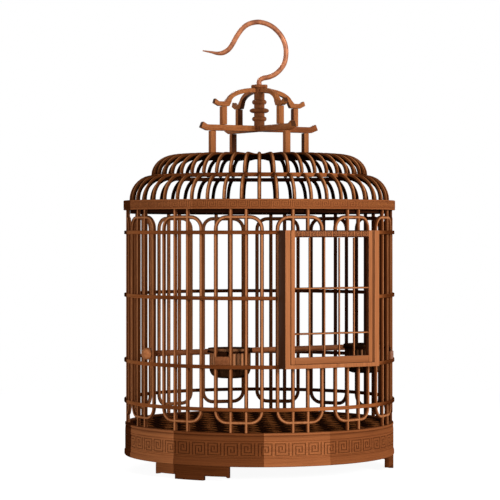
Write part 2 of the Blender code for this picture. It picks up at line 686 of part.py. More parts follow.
def collar():
    """The lobed collar on top of the spindle, bored for the hook's stem."""
    disc = [(SPINDLE_RADIUS, CAP_TOP), (SPINDLE_RADIUS, CAP_BOTTOM), (BORE_RADIUS, CAP_BOTTOM),
            (BORE_RADIUS, CAP_TOP)]
    ring = turned("hook_collar", disc, TURNED_STEPS, True)
    lobes = []
    for number in range(CAP_LOBES):
        work = bmesh.new()
        bmesh.ops.create_cone(work, cap_ends=True, segments=LOBE_STEPS,
                              radius1=CAP_LOBE_RADIUS, radius2=CAP_LOBE_RADIUS, depth=CAP_THICKNESS - GAP)
        place = round_place(360 * (number + 0.5) / CAP_LOBES, CAP_RADIUS - CAP_LOBE_RADIUS,
                            (CAP_TOP + CAP_BOTTOM) / 2)
        bmesh.ops.translate(work, vec=place, verts=work.verts)
        lobes.append(mesh_object("lobe", work))
    work = bmesh.new()
    bmesh.ops.create_cone(work, cap_ends=True, segments=TURNED_STEPS, radius1=BORE_RADIUS,
                          radius2=BORE_RADIUS, depth=CAP_THICKNESS + OVERRUN)
    bmesh.ops.translate(work, vec=(0, 0, (CAP_TOP + CAP_BOTTOM) / 2), verts=work.verts)
    drill = mesh_object("drill", work)
    solid = combined("hook_collar", ring, lobes)
    dress(combined("hook_collar", solid, [drill], "DIFFERENCE"), "lacquered_wood")


def crown():
    """The two tiers of posts, beams and arms round the spindle."""
    names = ("front", "right", "back", "left")
    for number, name in enumerate(names):
        angle = 360 * number / CROWN_ARM_COUNT
        post(f"lower_post_{name}", angle, LOWER_POST_RADIUS, LOWER_POST_FOOT, LOWER_POST_LENGTH)
        beam(f"crown_beam_{name}", angle)
        post(f"upper_post_{name}", angle, UPPER_POST_RADIUS, UPPER_POST_FOOT, UPPER_POST_LENGTH)
        arm(f"crown_arm_{name}", angle)
    spindle()
    collar()


def hook():
    """The bent hook, whose headed stem turns in the spindle."""
    turn = math.radians(HOOK_ANGLE)
    across = Vector((math.sin(turn), -math.cos(turn), 0))
    stem = [Vector((0, 0, HEAD_BOTTOM + HOOK_HEAD_HEIGHT / 2)), Vector((0, 0, CAP_TOP - CAP_THICKNESS / 2))]
    route = [(side * HOOK_RISE, up * HOOK_RISE) for side, up in HOOK_ROUTE_SHARES]
    points = stem + [across * side + Vector((0, 0, CAP_TOP + up)) for side, up in route]
    tip_share = HOOK_TIP_RADIUS / HOOK_RADIUS
    tapers = [1] * (len(points) - HOOK_TAPER_POINTS)
    tapers += steps_between(1, tip_share, HOOK_TAPER_POINTS)[1:]
    wire = tube("hook", points, HOOK_RADIUS, tapers=tapers, sides_level=2)
    work = bmesh.new()
    bmesh.ops.create_cone(work, cap_ends=True, segments=TURNED_STEPS, radius1=HOOK_HEAD_RADIUS,
                          radius2=HOOK_HEAD_RADIUS, depth=HOOK_HEAD_HEIGHT)
    bmesh.ops.translate(work, vec=(0, 0, (HEAD_TOP + HEAD_BOTTOM) / 2), verts=work.verts)
    dress(combined("hook", wire, [mesh_object("hook_head", work)]), "hook_metal")


def door_frame():
    """Two grooved stiles and a bottom rail in front of the lower hoop."""
    back = DOOR_FRONT - DOOR_STILE_DEPTH
    rail = block("door_frame", (-DOOR_HALF_WIDTH, -DOOR_FRONT, DOOR_BOTTOM),
                 (DOOR_HALF_WIDTH, -DOOR_FRONT + DOOR_RAIL_DEPTH, DOOR_BOTTOM + DOOR_RAIL_HEIGHT))
    stiles = []
    grooves = []
    for side in (-1, 1):
        edges = sorted((side * DOOR_OPENING, side * DOOR_HALF_WIDTH))
        stiles.append(block("stile", (edges[0], -DOOR_FRONT, DOOR_BOTTOM), (edges[1], -back, LEAF_TOP)))
        cut = sorted((side * (DOOR_OPENING - OVERRUN), side * (DOOR_OPENING + DOOR_GROOVE_DEPTH)))
        grooves.append(block("groove", (cut[0], -LEAF_FRONT - GAP, LEAF_BOTTOM - GAP),
                             (cut[1], -LEAF_BACK + GAP, LEAF_TOP + OVERRUN)))
    frame = combined("door_frame", rail, stiles)
    dress(combined("door_frame", frame, grooves, "DIFFERENCE"), "lacquered_wood")


def door_leaf():
    """The leaf's frame, and the bars and cross bars that fill it."""
    panel = block("door_leaf", (-LEAF_HALF_WIDTH, -LEAF_FRONT, LEAF_BOTTOM),
                  (LEAF_HALF_WIDTH, -LEAF_BACK, LEAF_TOP))
    window_low = LEAF_BOTTOM + LEAF_BOTTOM_RAIL
    window_high = LEAF_TOP - LEAF_TOP_RAIL
    window = block("window", (-LEAF_INNER_HALF, -LEAF_FRONT - OVERRUN, window_low),
                   (LEAF_INNER_HALF, -LEAF_BACK + OVERRUN, window_high))
    dress(combined("door_leaf", panel, [window], "DIFFERENCE"), "lacquered_wood")
    middle = -(LEAF_FRONT + LEAF_BACK) / 2
    half = LEAF_BAR_SIDE / 2
    uprights = []
    for number in range(LEAF_BAR_COUNT):
        place = LEAF_BAR_PITCH * (number - (LEAF_BAR_COUNT - 1) / 2)
        uprights.append(block("leaf_bar", (place - half, middle - half, window_low + GAP),
                              (place + half, middle + half, window_high - GAP)))
    crosses = []
    for share in LEAF_CROSS_SHARES:
        height = window_low + share * (window_high - window_low)
        crosses.append(block("leaf_cross", (-LEAF_INNER_HALF + GAP, middle - half, height - half),
                             (LEAF_INNER_HALF - GAP, middle + half, height + half)))
    bars = combined("door_bars", uprights[0], crosses + uprights[1:])
    dress(bars, "lacquered_bamboo")


def perch():
    """The perch rod between two bays of bars, with a ball at each end that sits in its bay."""
    turn = math.radians(BAR_PITCH * PERCH_BAY)
    centre = BAR_RING_RADIUS + PERCH_BALL_STANDOFF
    bay = BAR_PITCH / 2
    reach = round_place(bay, BAR_RING_RADIUS, 0) - round_place(0, centre, 0)
    ball_radius = reach.length - BAR_RADIUS - GAP
    out = Vector((math.sin(turn), -math.cos(turn), 0))
    peg_end = ball_radius / 2
    balls = {side: Vector((side * centre * out.x, centre * out.y, PERCH_HEIGHT)) for side in (-1, 1)}
    inset = ball_radius + GAP
    ends = [balls[side] - Vector((side * inset, 0, 0)) for side in (-1, 1)]
    rod = tube("perch", ends, PERCH_DIAMETER / 2, sides_level=2)
    pegs = []
    drills = {}
    for side in (-1, 1):
        start = balls[side] - Vector((side * (inset + OVERRUN), 0, 0))
        stop = balls[side] - Vector((side * (ball_radius - peg_end), 0, 0))
        pegs.append(tube("peg", [start, stop], PERCH_PEG_RADIUS))
        deep = balls[side] - Vector((side * (ball_radius - peg_end - GAP), 0, 0))
        drills[side] = tube("peg_hole", [start, deep], PERCH_PEG_RADIUS + GAP)
    dress(combined("perch", rod, pegs), "lacquered_bamboo")
    for side, name in ((-1, "perch_ball_left"), (1, "perch_ball_right")):
        work = bmesh.new()
        bmesh.ops.create_uvsphere(work, u_segments=BALL_STEPS, v_segments=BALL_STEPS // 2, radius=ball_radius)
        bmesh.ops.translate(work, vec=balls[side], verts=work.verts)
        ball = mesh_object(name, work)
        dress(combined(name, ball, [drills[side]], "DIFFERENCE"), "lacquered_wood")


def cup(name, centre):
    """A feeding cup with a round lower corner and a rim that rests on its bracket."""
    outer = [(CUP_RIM_RADIUS, CUP_TOP), (CUP_RIM_RADIUS, CUP_RIM_BOTTOM), (CUP_RADIUS, CUP_RIM_BOTTOM)]
    outer += quarter((CUP_RADIUS - CUP_CORNER, CUP_BOTTOM + CUP_CORNER), CUP_CORNER, CUP_CORNER,
                     0, -90, CUP_CORNER_STEPS)
    outer.append((0, CUP_BOTTOM))
    inner_corner = CUP_CORNER - CUP_WALL
    inner = [(0, CUP_BOTTOM + CUP_WALL)]
    inner += quarter((CUP_RADIUS - CUP_CORNER, CUP_BOTTOM + CUP_CORNER), inner_corner, inner_corner,
                     -90, 0, CUP_CORNER_STEPS)
    inner.append((CUP_RADIUS - CUP_WALL, CUP_TOP))
    shell = turned(name, outer + inner, CUP_STEPS, True)
    shell.data.transform(Matrix.Translation(centre))
    dress(shell, "cup_wood")


def bracket(name, angle):
    """A ring that holds a cup, with a tongue between two bars to a plate outside them."""
    profile = [(BRACKET_RING_OUTER, RING_TOP), (BRACKET_RING_OUTER, RING_BOTTOM),
               (BRACKET_RING_INNER, RING_BOTTOM), (BRACKET_RING_INNER, RING_TOP)]
    ring = turned(name, profile, CUP_STEPS, True)
    ring.data.transform(Matrix.Translation((CUP_CENTRE, 0, 0)))
    plate_inner = BAR_RING_RADIUS + BAR_RADIUS + GAP
    plate_outer = plate_inner + BRACKET_PLATE_THICKNESS
    tongue_start = CUP_CENTRE + BRACKET_RING_INNER + BRACKET_RING_WIDTH / 2
    half = BRACKET_TONGUE_WIDTH / 2
    tongue = block("tongue", (tongue_start, -half, PLATE_TOP - BRACKET_RING_HEIGHT),
                   (plate_inner + GAP, half, RING_TOP))
    half = BRACKET_PLATE_WIDTH / 2
    plate = block("plate", (plate_inner, -half, PLATE_BOTTOM), (plate_outer, half, PLATE_TOP))
    dress(turned_to(combined(name, ring, [tongue, plate]), angle), "lacquered_wood")


def cups():
    """Both feeding cups in their brackets."""
    for side, angle in CUP_ANGLES.items():
        bracket(f"cup_bracket_{side}", angle)
        cup(f"feeding_cup_{side}", round_place(angle, CUP_CENTRE, 0))


clear_scene()
CAGE = collection("bird_cage")
WORK = collection("cutters")
base()
feet()
hoops()
wall()
band()
dome()
crown()
hook()
door_frame()
door_leaf()
perch()
cups()
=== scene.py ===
"""Dresses the round bamboo bird cage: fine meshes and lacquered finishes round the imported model.

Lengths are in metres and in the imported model's own frame: +Z up, the door towards -Y, the cage's
axis at x 0, y 0. An angle round the cage is in degrees from the door, positive towards +X.
"""

import logging
import math
from dataclasses import dataclass
from enum import Enum
from typing import Callable, Iterable, Optional, Sequence

import bmesh
import bpy
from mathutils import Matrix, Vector


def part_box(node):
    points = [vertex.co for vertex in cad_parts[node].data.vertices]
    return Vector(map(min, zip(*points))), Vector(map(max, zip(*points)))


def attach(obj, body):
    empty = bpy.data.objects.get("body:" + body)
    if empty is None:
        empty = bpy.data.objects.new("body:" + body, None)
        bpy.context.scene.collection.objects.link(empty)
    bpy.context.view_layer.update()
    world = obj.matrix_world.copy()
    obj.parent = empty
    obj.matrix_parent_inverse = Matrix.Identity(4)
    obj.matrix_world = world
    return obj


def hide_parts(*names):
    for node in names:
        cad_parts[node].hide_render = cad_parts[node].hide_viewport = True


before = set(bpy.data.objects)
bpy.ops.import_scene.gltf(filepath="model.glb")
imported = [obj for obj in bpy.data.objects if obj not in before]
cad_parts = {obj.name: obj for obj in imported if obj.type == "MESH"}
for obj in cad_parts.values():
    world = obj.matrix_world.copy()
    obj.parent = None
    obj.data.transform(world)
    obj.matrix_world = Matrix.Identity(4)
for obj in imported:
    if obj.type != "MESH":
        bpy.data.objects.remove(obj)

log = logging.getLogger("bird_cage")

Point = tuple[float, float, float]
Pair = tuple[float, float]
Rgba = tuple[float, float, float, float]
Socket = bpy.types.NodeSocket
Nodes = bpy.types.NodeTree
Finish = bpy.types.Material
Piece = bpy.types.Object
Work = bmesh.types.BMesh
Place = Callable[[float, float, float], Vector]
Swell = Callable[[float, float, float], float]

MM = 0.001
# The room between neighbouring pieces
GAP = 0.0003
# Points nearer to each other than this are one point
WELD = 0.00002
# The radius of the wall, at which an angle round the cage is worked out as a length
WALL_RADIUS = 0.16
SIDES = ("front", "right", "back", "left")
# The side of the cage, behind its left, where painted light takes away part of the painted inside shade
LIT_INSIDE_SIDE = (-0.866, 0.5, 0.0)
# How far from the axis towards that side the painted light starts and is full
LIT_INSIDE_START = -0.07
LIT_INSIDE_FULL = 0.12


class Grain(Enum):
    """The way that the fibres of a piece run."""

    UP = "up"
    ACROSS = "across"
    ROUND = "round"
    OUT = "out"


class Slot(Enum):
    """The record's material slots."""

    BAMBOO = "lacquered_bamboo"
    WOOD = "lacquered_wood"
    FLOOR = "woven_floor"
    CUP = "cup_wood"
    HOOK = "hook_metal"


def linear(colour: str) -> Rgba:
    """Turn an sRGB hex colour into linear values.

    Args:
        colour: six hex digits after a hash sign.

    Returns:
        Linear red, green, blue and an alpha of 1.
    """
    parts = [int(colour[place:place + 2], 16) / 255 for place in (1, 3, 5)]
    values = [part / 12.92 if part <= 0.04045 else ((part + 0.055) / 1.055) ** 2.4 for part in parts]
    return (values[0], values[1], values[2], 1.0)


def round_place(angle: float, radius: float, height: float) -> Vector:
    """Give the point at an angle from the door, a radius and a height."""
    turn = math.radians(angle)
    return Vector((radius * math.sin(turn), -radius * math.cos(turn), height))


def steps_between(first: float, last: float, steps: int) -> list[float]:
    """Give evenly spaced values from first to last, both ends included."""
    return [first + (last - first) * index / steps for index in range(steps + 1)]


def arc(centre: Pair, across: float, up: float, first: float, last: float, steps: int) -> list[Pair]:
    """Give points of an elliptical arc.

    Args:
        centre: the arc's centre.
        across: its half width.
        up: its half height.
        first: the first angle in degrees, from the across side.
        last: the last angle in degrees.
        steps: the number of steps between them.

    Returns:
        The arc's points as pairs.
    """
    turns = [math.radians(value) for value in steps_between(first, last, steps)]
    return [(centre[0] + across * math.cos(turn), centre[1] + up * math.sin(turn)) for turn in turns]


def add_node(tree: Nodes, kind: str, links: Optional[dict] = None,
             **settings: object) -> bpy.types.Node:
    """Add a node to a tree, set its properties and feed its inputs.

    Args:
        tree: the node tree.
        kind: the node's type name.
        links: input name or number to a socket to link, or to a plain value.
        settings: properties of the node.

    Returns:
        The new node.
    """
    node = tree.nodes.new(kind)
    for name, value in settings.items():
        setattr(node, name, value)
    for name, value in (links or {}).items():
        socket = node.inputs[name]
        if isinstance(value, Socket):
            tree.links.new(value, socket)
        else:
            socket.default_value = value
    return node


# Meshes


def mesh_object(name: str, work: Work, smooth: float = 40) -> Piece:
    """Put a built mesh in an object of the scene.

    Args:
        name: the piece's name.
        work: the built mesh, which is freed.
        smooth: the angle in degrees past which an edge stays sharp.

    Returns:
        The new object.
    """
    mesh = bpy.data.meshes.new(name)
    work.to_mesh(mesh)
    work.free()
    mesh.shade_smooth()
    mesh.set_sharp_from_angle(angle=math.radians(smooth))
    thing = bpy.data.objects.new(name, mesh)
    bpy.context.scene.collection.objects.link(thing)
    return thing


def closed_up(work: Work) -> None:
    """Merge doubled points and turn the faces outwards."""
    bmesh.ops.remove_doubles(work, verts=work.verts, dist=WELD)
    bmesh.ops.recalc_face_normals(work, faces=work.faces)


def revolved(work: Work, profile: Sequence[Pair], angles: Sequence[float], place: Place,
             full: bool = True, swell: Optional[Swell] = None) -> None:
    """Turn a closed profile round an axis into a mesh.

    Args:
        work: the mesh to add to.
        profile: (radius, height) points of a loop that is closed from last to first.
        angles: the angles of the turned copies, in degrees.
        place: gives the point for an angle, a radius and a height.
        full: whether the last copy joins the first.
        swell: gives a new radius from an angle, a radius and a height.
    """
    rings = []
    for angle in angles:
        ring = []
        for radius, height in profile:
            out = swell(angle, radius, height) if swell and radius > 0 else radius
            ring.append(work.verts.new(place(angle, out, height)))
        rings.append(ring)
    count = len(profile)
    pairs = list(zip(rings, rings[1:]))
    if full:
        pairs.append((rings[-1], rings[0]))
    for first, second in pairs:
        for low in range(count):
            high = (low + 1) % count
            if profile[low][0] == 0 and profile[high][0] == 0:
                continue
            work.faces.new((first[low], second[low], second[high], first[high]))
    if not full:
        work.faces.new(rings[0])
        work.faces.new(rings[-1][::-1])


def turned(name: str, profile: Sequence[Pair], steps: int, centre: Vector = Vector((0, 0, 0)),
           swell: Optional[Swell] = None) -> Piece:
    """Make a piece turned about an upright axis.

    Args:
        name: the piece's name.
        profile: (radius, height) points of its closed outline.
        steps: the number of steps round it.
        centre: where its axis stands.
        swell: gives a new radius from an angle, a radius and a height.

    Returns:
        The piece.
    """
    work = bmesh.new()
    angles = [360 * index / steps for index in range(steps)]
    revolved(work, profile, angles, lambda angle, radius, height: round_place(angle, radius, height) + centre,
             swell=swell)
    closed_up(work)
    return mesh_object(name, work, 35)


def rounded(profile: Sequence[Pair], radius: float, steps: int = 2) -> list[Pair]:
    """Round the corners of a closed outline.

    Args:
        profile: the outline's points.
        radius: how far along each side the rounding starts.
        steps: the number of steps in each corner.

    Returns:
        The rounded outline.
    """
    result = []
    count = len(profile)
    for index in range(count):
        before, corner, after = (Vector(profile[(index + shift) % count]) for shift in (-1, 0, 1))
        if corner.x == 0:
            result.append((0.0, corner.y))
            continue
        start = corner + (before - corner).normalized() * min(radius, (before - corner).length / 2)
        end = corner + (after - corner).normalized() * min(radius, (after - corner).length / 2)
        for share in steps_between(0, 1, steps):
            point = start.lerp(corner, share).lerp(corner.lerp(end, share), share)
            result.append((point.x, point.y))
    return result


def board(work: Work, outline: Sequence[Pair], thickness: float, place: Place,
          cuts: Iterable[float] = ()) -> None:
    """Cut a board to an outline, split it at the cuts and put it in place.

    Args:
        work: the mesh to add to.
        outline: (along, up) points of the board.
        thickness: the board's thickness, centred on 0.
        place: gives the point for a distance along, a height and a depth.
        cuts: distances along at which the board is split, so that it can bend.
    """
    part = bmesh.new()
    face = part.faces.new([part.verts.new((along, 0, up)) for along, up in outline])
    for cut in cuts:
        parts = part.verts[:] + part.edges[:] + part.faces[:]
        bmesh.ops.bisect_plane(part, geom=parts, plane_co=(cut, 0, 0), plane_no=(1, 0, 0))
    face_list = part.faces[:]
    bmesh.ops.translate(part, vec=(0, -thickness / 2, 0), verts=part.verts)
    grown = bmesh.ops.extrude_face_region(part, geom=face_list, use_keep_orig=True)["geom"]
    lifted = [item for item in grown if isinstance(item, bmesh.types.BMVert)]
    bmesh.ops.translate(part, vec=(0, thickness, 0), verts=lifted)
    bmesh.ops.recalc_face_normals(part, faces=part.faces)
    for vert in part.verts:
        vert.co = place(vert.co.x, vert.co.z, vert.co.y)
    joined = {vert: work.verts.new(vert.co) for vert in part.verts}
    for face in part.faces:
        work.faces.new([joined[vert] for vert in face.verts])
    part.free()


def eased(thing: Piece, width: float, segments: int = 2) -> Piece:
    """Round the sharp edges of a piece, as sanding does.

    Args:
        thing: the piece.
        width: the width of the rounding.
        segments: its number of steps.

    Returns:
        The same piece.
    """
    bevel = thing.modifiers.new("Eased edges", "BEVEL")
    bevel.width = width
    bevel.segments = segments
    bevel.limit_method = "ANGLE"
    bevel.angle_limit = math.radians(35)
    bevel.use_clamp_overlap = True
    return settled(thing)


def settled(thing: Piece) -> Piece:
    """Work a piece's modifiers into a plain mesh, with its material kept.

    Args:
        thing: the piece.

    Returns:
        The same piece.
    """
    bpy.context.view_layer.update()
    graph = bpy.context.evaluated_depsgraph_get()
    mesh = bpy.data.meshes.new_from_object(thing.evaluated_get(graph))
    mesh.name = thing.name
    thing.modifiers.clear()
    thing.data = mesh
    mesh.shade_smooth()
    mesh.set_sharp_from_angle(angle=math.radians(38))
    return thing


def copied(name: str, node: str) -> Piece:
    """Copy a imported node's mesh, with its doubled points merged and its flat faces joined.

    Args:
        name: the new piece's name.
        node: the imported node.

    Returns:
        The copy.
    """
    work = bmesh.new()
    work.from_mesh(bpy.data.objects[node].data)
    bmesh.ops.remove_doubles(work, verts=work.verts, dist=WELD)
    bmesh.ops.dissolve_limit(work, angle_limit=math.radians(1), verts=work.verts, edges=work.edges)
    bmesh.ops.recalc_face_normals(work, faces=work.faces)
    return mesh_object(name, work)


# Geometry Nodes


class Tree:
    """A Geometry Nodes tree with named inputs."""

    def __init__(self, name: str, inputs: dict[str, tuple[str, object]]) -> None:
        """Start a tree.

        Args:
            name: the tree's name.
            inputs: input name to its socket type and default value.
        """
        self.tree = bpy.data.node_groups.new(name, "GeometryNodeTree")
        face = self.tree.interface
        face.new_socket("Geometry", in_out="INPUT", socket_type="NodeSocketGeometry")
        for label, (kind, value) in inputs.items():
            socket = face.new_socket(label, in_out="INPUT", socket_type=kind)
            if value is not None:
                socket.default_value = value
        face.new_socket("Geometry", in_out="OUTPUT", socket_type="NodeSocketGeometry")
        self.entry = self.tree.nodes.new("NodeGroupInput")

    def close(self, geometry: Socket) -> None:
        """End the tree in Realize Instances and Set Material.

        Args:
            geometry: what the tree has made.
        """
        real = add_node(self.tree, "GeometryNodeRealizeInstances", {"Geometry": geometry})
        painted = add_node(self.tree, "GeometryNodeSetMaterial",
                           {"Geometry": real.outputs[0], "Material": self.entry.outputs["Material"]})
        add_node(self.tree, "NodeGroupOutput", {"Geometry": painted.outputs[0]})

    def apply(self, thing: Piece, values: dict[str, object]) -> Piece:
        """Run the tree on a piece and keep the result as its plain mesh.

        Args:
            thing: the piece.
            values: input name to value.

        Returns:
            The same piece.
        """
        step = thing.modifiers.new(self.tree.name, "NODES")
        step.node_group = self.tree
        names = {item.name: item.identifier for item in self.tree.interface.items_tree
                 if item.item_type == "SOCKET" and item.in_out == "INPUT"}
        for label, value in values.items():
            step[names[label]] = value
        return settled(thing)


def sweep_tree() -> Tree:
    """Build the tree that draws a round splint along a route of edges.

    Returns:
        The tree, with the inputs Radius, Sides and Material.
    """
    made = Tree("Swept splint", {
        "Radius": ("NodeSocketFloat", 0.002), "Sides": ("NodeSocketInt", 12),
        "Material": ("NodeSocketMaterial", None)})
    tree, entry = made.tree, made.entry
    route = add_node(tree, "GeometryNodeMeshToCurve", {"Mesh": entry.outputs["Geometry"]})
    section = add_node(tree, "GeometryNodeCurvePrimitiveCircle",
                       {"Resolution": entry.outputs["Sides"], "Radius": entry.outputs["Radius"]})
    taper = add_node(tree, "GeometryNodeInputNamedAttribute", {"Name": "taper"}, data_type="FLOAT")
    swept = add_node(tree, "GeometryNodeCurveToMesh",
                     {"Curve": route.outputs[0], "Profile Curve": section.outputs[0],
                      "Scale": taper.outputs["Attribute"], "Fill Caps": True})
    made.close(swept.outputs[0])
    return made


def repeat_tree() -> Tree:
    """Build the tree that repeats a piece by a turn about the cage's axis and a shift.

    Returns:
        The tree, with the inputs Count, Turn, Shift and Material.
    """
    made = Tree("Repeated piece", {
        "Count": ("NodeSocketInt", 1), "Turn": ("NodeSocketFloat", 0.0),
        "Shift": ("NodeSocketVector", (0.0, 0.0, 0.0)), "Material": ("NodeSocketMaterial", None)})
    tree, entry = made.tree, made.entry
    index = add_node(tree, "GeometryNodeInputIndex")
    turn = add_node(tree, "ShaderNodeMath", {0: index.outputs[0], 1: entry.outputs["Turn"]},
                    operation="MULTIPLY")
    turns = add_node(tree, "ShaderNodeCombineXYZ", {"Z": turn.outputs[0]})
    angle = add_node(tree, "FunctionNodeEulerToRotation", {0: turns.outputs[0]})
    shift = add_node(tree, "ShaderNodeVectorMath", {0: entry.outputs["Shift"], "Scale": index.outputs[0]},
                     operation="SCALE")
    points = add_node(tree, "GeometryNodePoints",
                      {"Count": entry.outputs["Count"], "Position": shift.outputs[0]})
    copies = add_node(tree, "GeometryNodeInstanceOnPoints",
                      {"Points": points.outputs[0], "Instance": entry.outputs["Geometry"],
                       "Rotation": angle.outputs[0]})
    made.close(copies.outputs[0])
    return made


SWEEP = sweep_tree()
REPEAT = repeat_tree()


@dataclass(frozen=True)
class Route:
    """A route of points for a splint or wire."""

    points: Sequence[Vector]
    closed: bool = False
    tapers: Optional[Sequence[float]] = None


def splints(name: str, routes: Sequence[Route], radius: float, material: Finish,
            sides: int = 12) -> Piece:
    """Draw round splints along routes, as one piece.

    Args:
        name: the piece's name.
        routes: the routes.
        radius: the splints' radius.
        material: the finish.
        sides: sides of the round section.

    Returns:
        The piece.
    """
    work = bmesh.new()
    layer = work.verts.layers.float.new("taper")
    for route in routes:
        row = []
        for index, point in enumerate(route.points):
            vert = work.verts.new(point)
            vert[layer] = route.tapers[index] if route.tapers else 1.0
            row.append(vert)
        for first, second in zip(row, row[1:]):
            work.edges.new((first, second))
        if route.closed:
            work.edges.new((row[-1], row[0]))
    thing = mesh_object(name, work)
    return SWEEP.apply(thing, {"Radius": radius, "Sides": sides, "Material": material})


def smooth_route(points: Sequence[Vector], steps: int) -> list[Vector]:
    """Run a smooth curve through points.

    Args:
        points: the points.
        steps: the number of steps from each point to the next.

    Returns:
        The curve's points.
    """
    ends = [points[0] * 2 - points[1]] + list(points) + [points[-1] * 2 - points[-2]]
    result = []
    for index in range(1, len(ends) - 2):
        before, start, stop, after = ends[index - 1:index + 3]
        for step in range(steps):
            share = step / steps
            result.append(0.5 * ((2 * start) + (stop - before) * share
                                 + (2 * before - 5 * start + 4 * stop - after) * share ** 2
                                 + (3 * start - before - 3 * stop + after) * share ** 3))
    result.append(points[-1])
    return result


# Finishes


@dataclass(frozen=True)
class Lacquer:
    """Split bamboo or turned wood, stained red-brown and lacquered.

    The stain gathers in the fibres, so that the eye sees fine streaks along the grain. A bar's flanks
    are darker than its face, as painted shade. The faces turned to the inside of the cage are darker
    still, as painted shade, lifted by painted light on the side behind the cage's left.
    """

    name: str
    grain: Grain
    light: str = "#C47A48"
    dark: str = "#8A4A26"
    # The colour and the greatest share of the painted shade on faces turned towards the cage's middle
    inner: str = "#3A1A0B"
    inner_share: float = 0.9
    # A bundle of fibres is about 0.5 mm wide, and is drawn twice as wide so that it shows
    fibre_mm: float = 1.1
    run_mm: float = 42.0
    # The streaks lie over a mottling that is this many times as wide
    mottling: float = 6.0
    mottling_share: float = 0.42
    dark_at: float = 0.30
    light_at: float = 0.62
    # How far a face is turned out where its painted flank shade starts and is full
    flank_from: float = 0.98
    flank_to: float = 0.78
    # How far a face is turned out where the painted inside shade starts and is full
    inner_from: float = 0.35
    inner_to: float = -0.35
    flank_shade: str = "#FFFFFF"
    roughness: float = 0.50
    specular: float = 0.06
    relief_share: float = 0.12
    heart_height: float = 0.26
    level: bool = False
    # The share of the painted inside shade that the painted light on that side takes away
    shade_lifted: float = 0.0

    def build(self) -> Finish:
        """Build the finish's material.

        Returns:
            The material.
        """
        material = bpy.data.materials.new(self.name)
        material.use_nodes = True
        tree = material.node_tree
        shader = tree.nodes["Principled BSDF"]
        fibres = self.fibres(tree)
        broad = add_node(tree, "ShaderNodeTexNoise",
                         {"Vector": self.along(tree, self.mottling), "Scale": 1.0, "Detail": 2.0,
                          "Roughness": 0.5})
        streak = add_node(tree, "ShaderNodeMix",
                          {"Factor": self.mottling_share, "A": fibres, "B": broad.outputs["Fac"]},
                          data_type="FLOAT")
        ramp = add_node(tree, "ShaderNodeValToRGB", {"Fac": streak.outputs[0]})
        tones = ((self.dark_at, self.dark), (self.light_at, self.light))
        for mark, (value, tone) in zip(ramp.color_ramp.elements, tones):
            mark.position = value
            mark.color = linear(tone)
        colour = self.marked(tree, ramp.outputs["Color"])
        tree.links.new(self.shaded_inside(tree, colour), shader.inputs["Base Color"])
        shader.inputs["IOR"].default_value = 1.5
        shader.inputs["Specular IOR Level"].default_value = self.specular
        gloss = add_node(tree, "ShaderNodeMapRange",
                         {"Value": fibres, "To Min": self.roughness + 0.1, "To Max": self.roughness - 0.06})
        tree.links.new(gloss.outputs["Result"], shader.inputs["Roughness"])
        bump = add_node(tree, "ShaderNodeBump",
                        {"Height": fibres, "Strength": self.relief_share, "Distance": 0.2 * MM})
        tree.links.new(bump.outputs["Normal"], shader.inputs["Normal"])
        return material

    def marked(self, tree: Nodes, colour: Socket) -> Socket:
        """Give the colour as it is; a finish with more to it adds it here."""
        return colour

    def stain_and_shade(self, tree: Nodes, share: Socket, colour: Socket) -> Socket:
        """Let the dark inner colour cover a share of the colour: painted shade, and the darker marks of each
        finish.

        Args:
            tree: the material's tree.
            share: the dark colour's share.
            colour: the colour so far.

        Returns:
            The darkened colour.
        """
        return add_node(tree, "ShaderNodeMix", {"Factor": share, "A": colour, "B": linear(self.inner)},
                        data_type="RGBA").outputs["Result"]

    def spots(self, tree: Nodes) -> Socket:
        """Give coordinates that follow the grain.

        Args:
            tree: the material's tree.

        Returns:
            Metres as (first across, second across, along the grain).
        """
        place = add_node(tree, "ShaderNodeTexCoord").outputs["Object"]
        apart = add_node(tree, "ShaderNodeSeparateXYZ", {"Vector": place})
        x, y, z = apart.outputs
        if self.grain is Grain.UP:
            return place
        if self.grain is Grain.ACROSS:
            return add_node(tree, "ShaderNodeCombineXYZ", {"X": y, "Y": z, "Z": x}).outputs[0]
        turn = add_node(tree, "ShaderNodeMath", {0: x, 1: y}, operation="ARCTAN2")
        flat = add_node(tree, "ShaderNodeCombineXYZ", {"X": x, "Y": y})
        out = add_node(tree, "ShaderNodeVectorMath", {0: flat.outputs[0]}, operation="LENGTH")
        length = add_node(tree, "ShaderNodeMath", {0: turn.outputs[0], 1: WALL_RADIUS}, operation="MULTIPLY")
        order = {"X": out.outputs["Value"], "Y": z, "Z": length.outputs[0]}
        if self.grain is Grain.OUT:
            order = {"X": length.outputs[0], "Y": z, "Z": out.outputs["Value"]}
        return add_node(tree, "ShaderNodeCombineXYZ", order).outputs[0]

    def along(self, tree: Nodes, coarse: float) -> Socket:
        """Give noise coordinates whose cells run with the grain.

        Args:
            tree: the material's tree.
            coarse: how many fibres wide a cell is.

        Returns:
            The coordinates, in cells.
        """
        fine = 1 / (self.fibre_mm * MM * coarse)
        slow = 1 / (self.run_mm * MM * coarse)
        return add_node(tree, "ShaderNodeMapping",
                        {"Vector": self.spots(tree), "Scale": (fine, fine, slow)}).outputs[0]

    def fibres(self, tree: Nodes) -> Socket:
        """Give the pattern of the fibres, from 0 to 1."""
        noise = add_node(tree, "ShaderNodeTexNoise",
                         {"Vector": self.along(tree, 1.0), "Scale": 1.0, "Detail": 4.0, "Roughness": 0.6})
        return noise.outputs["Fac"]

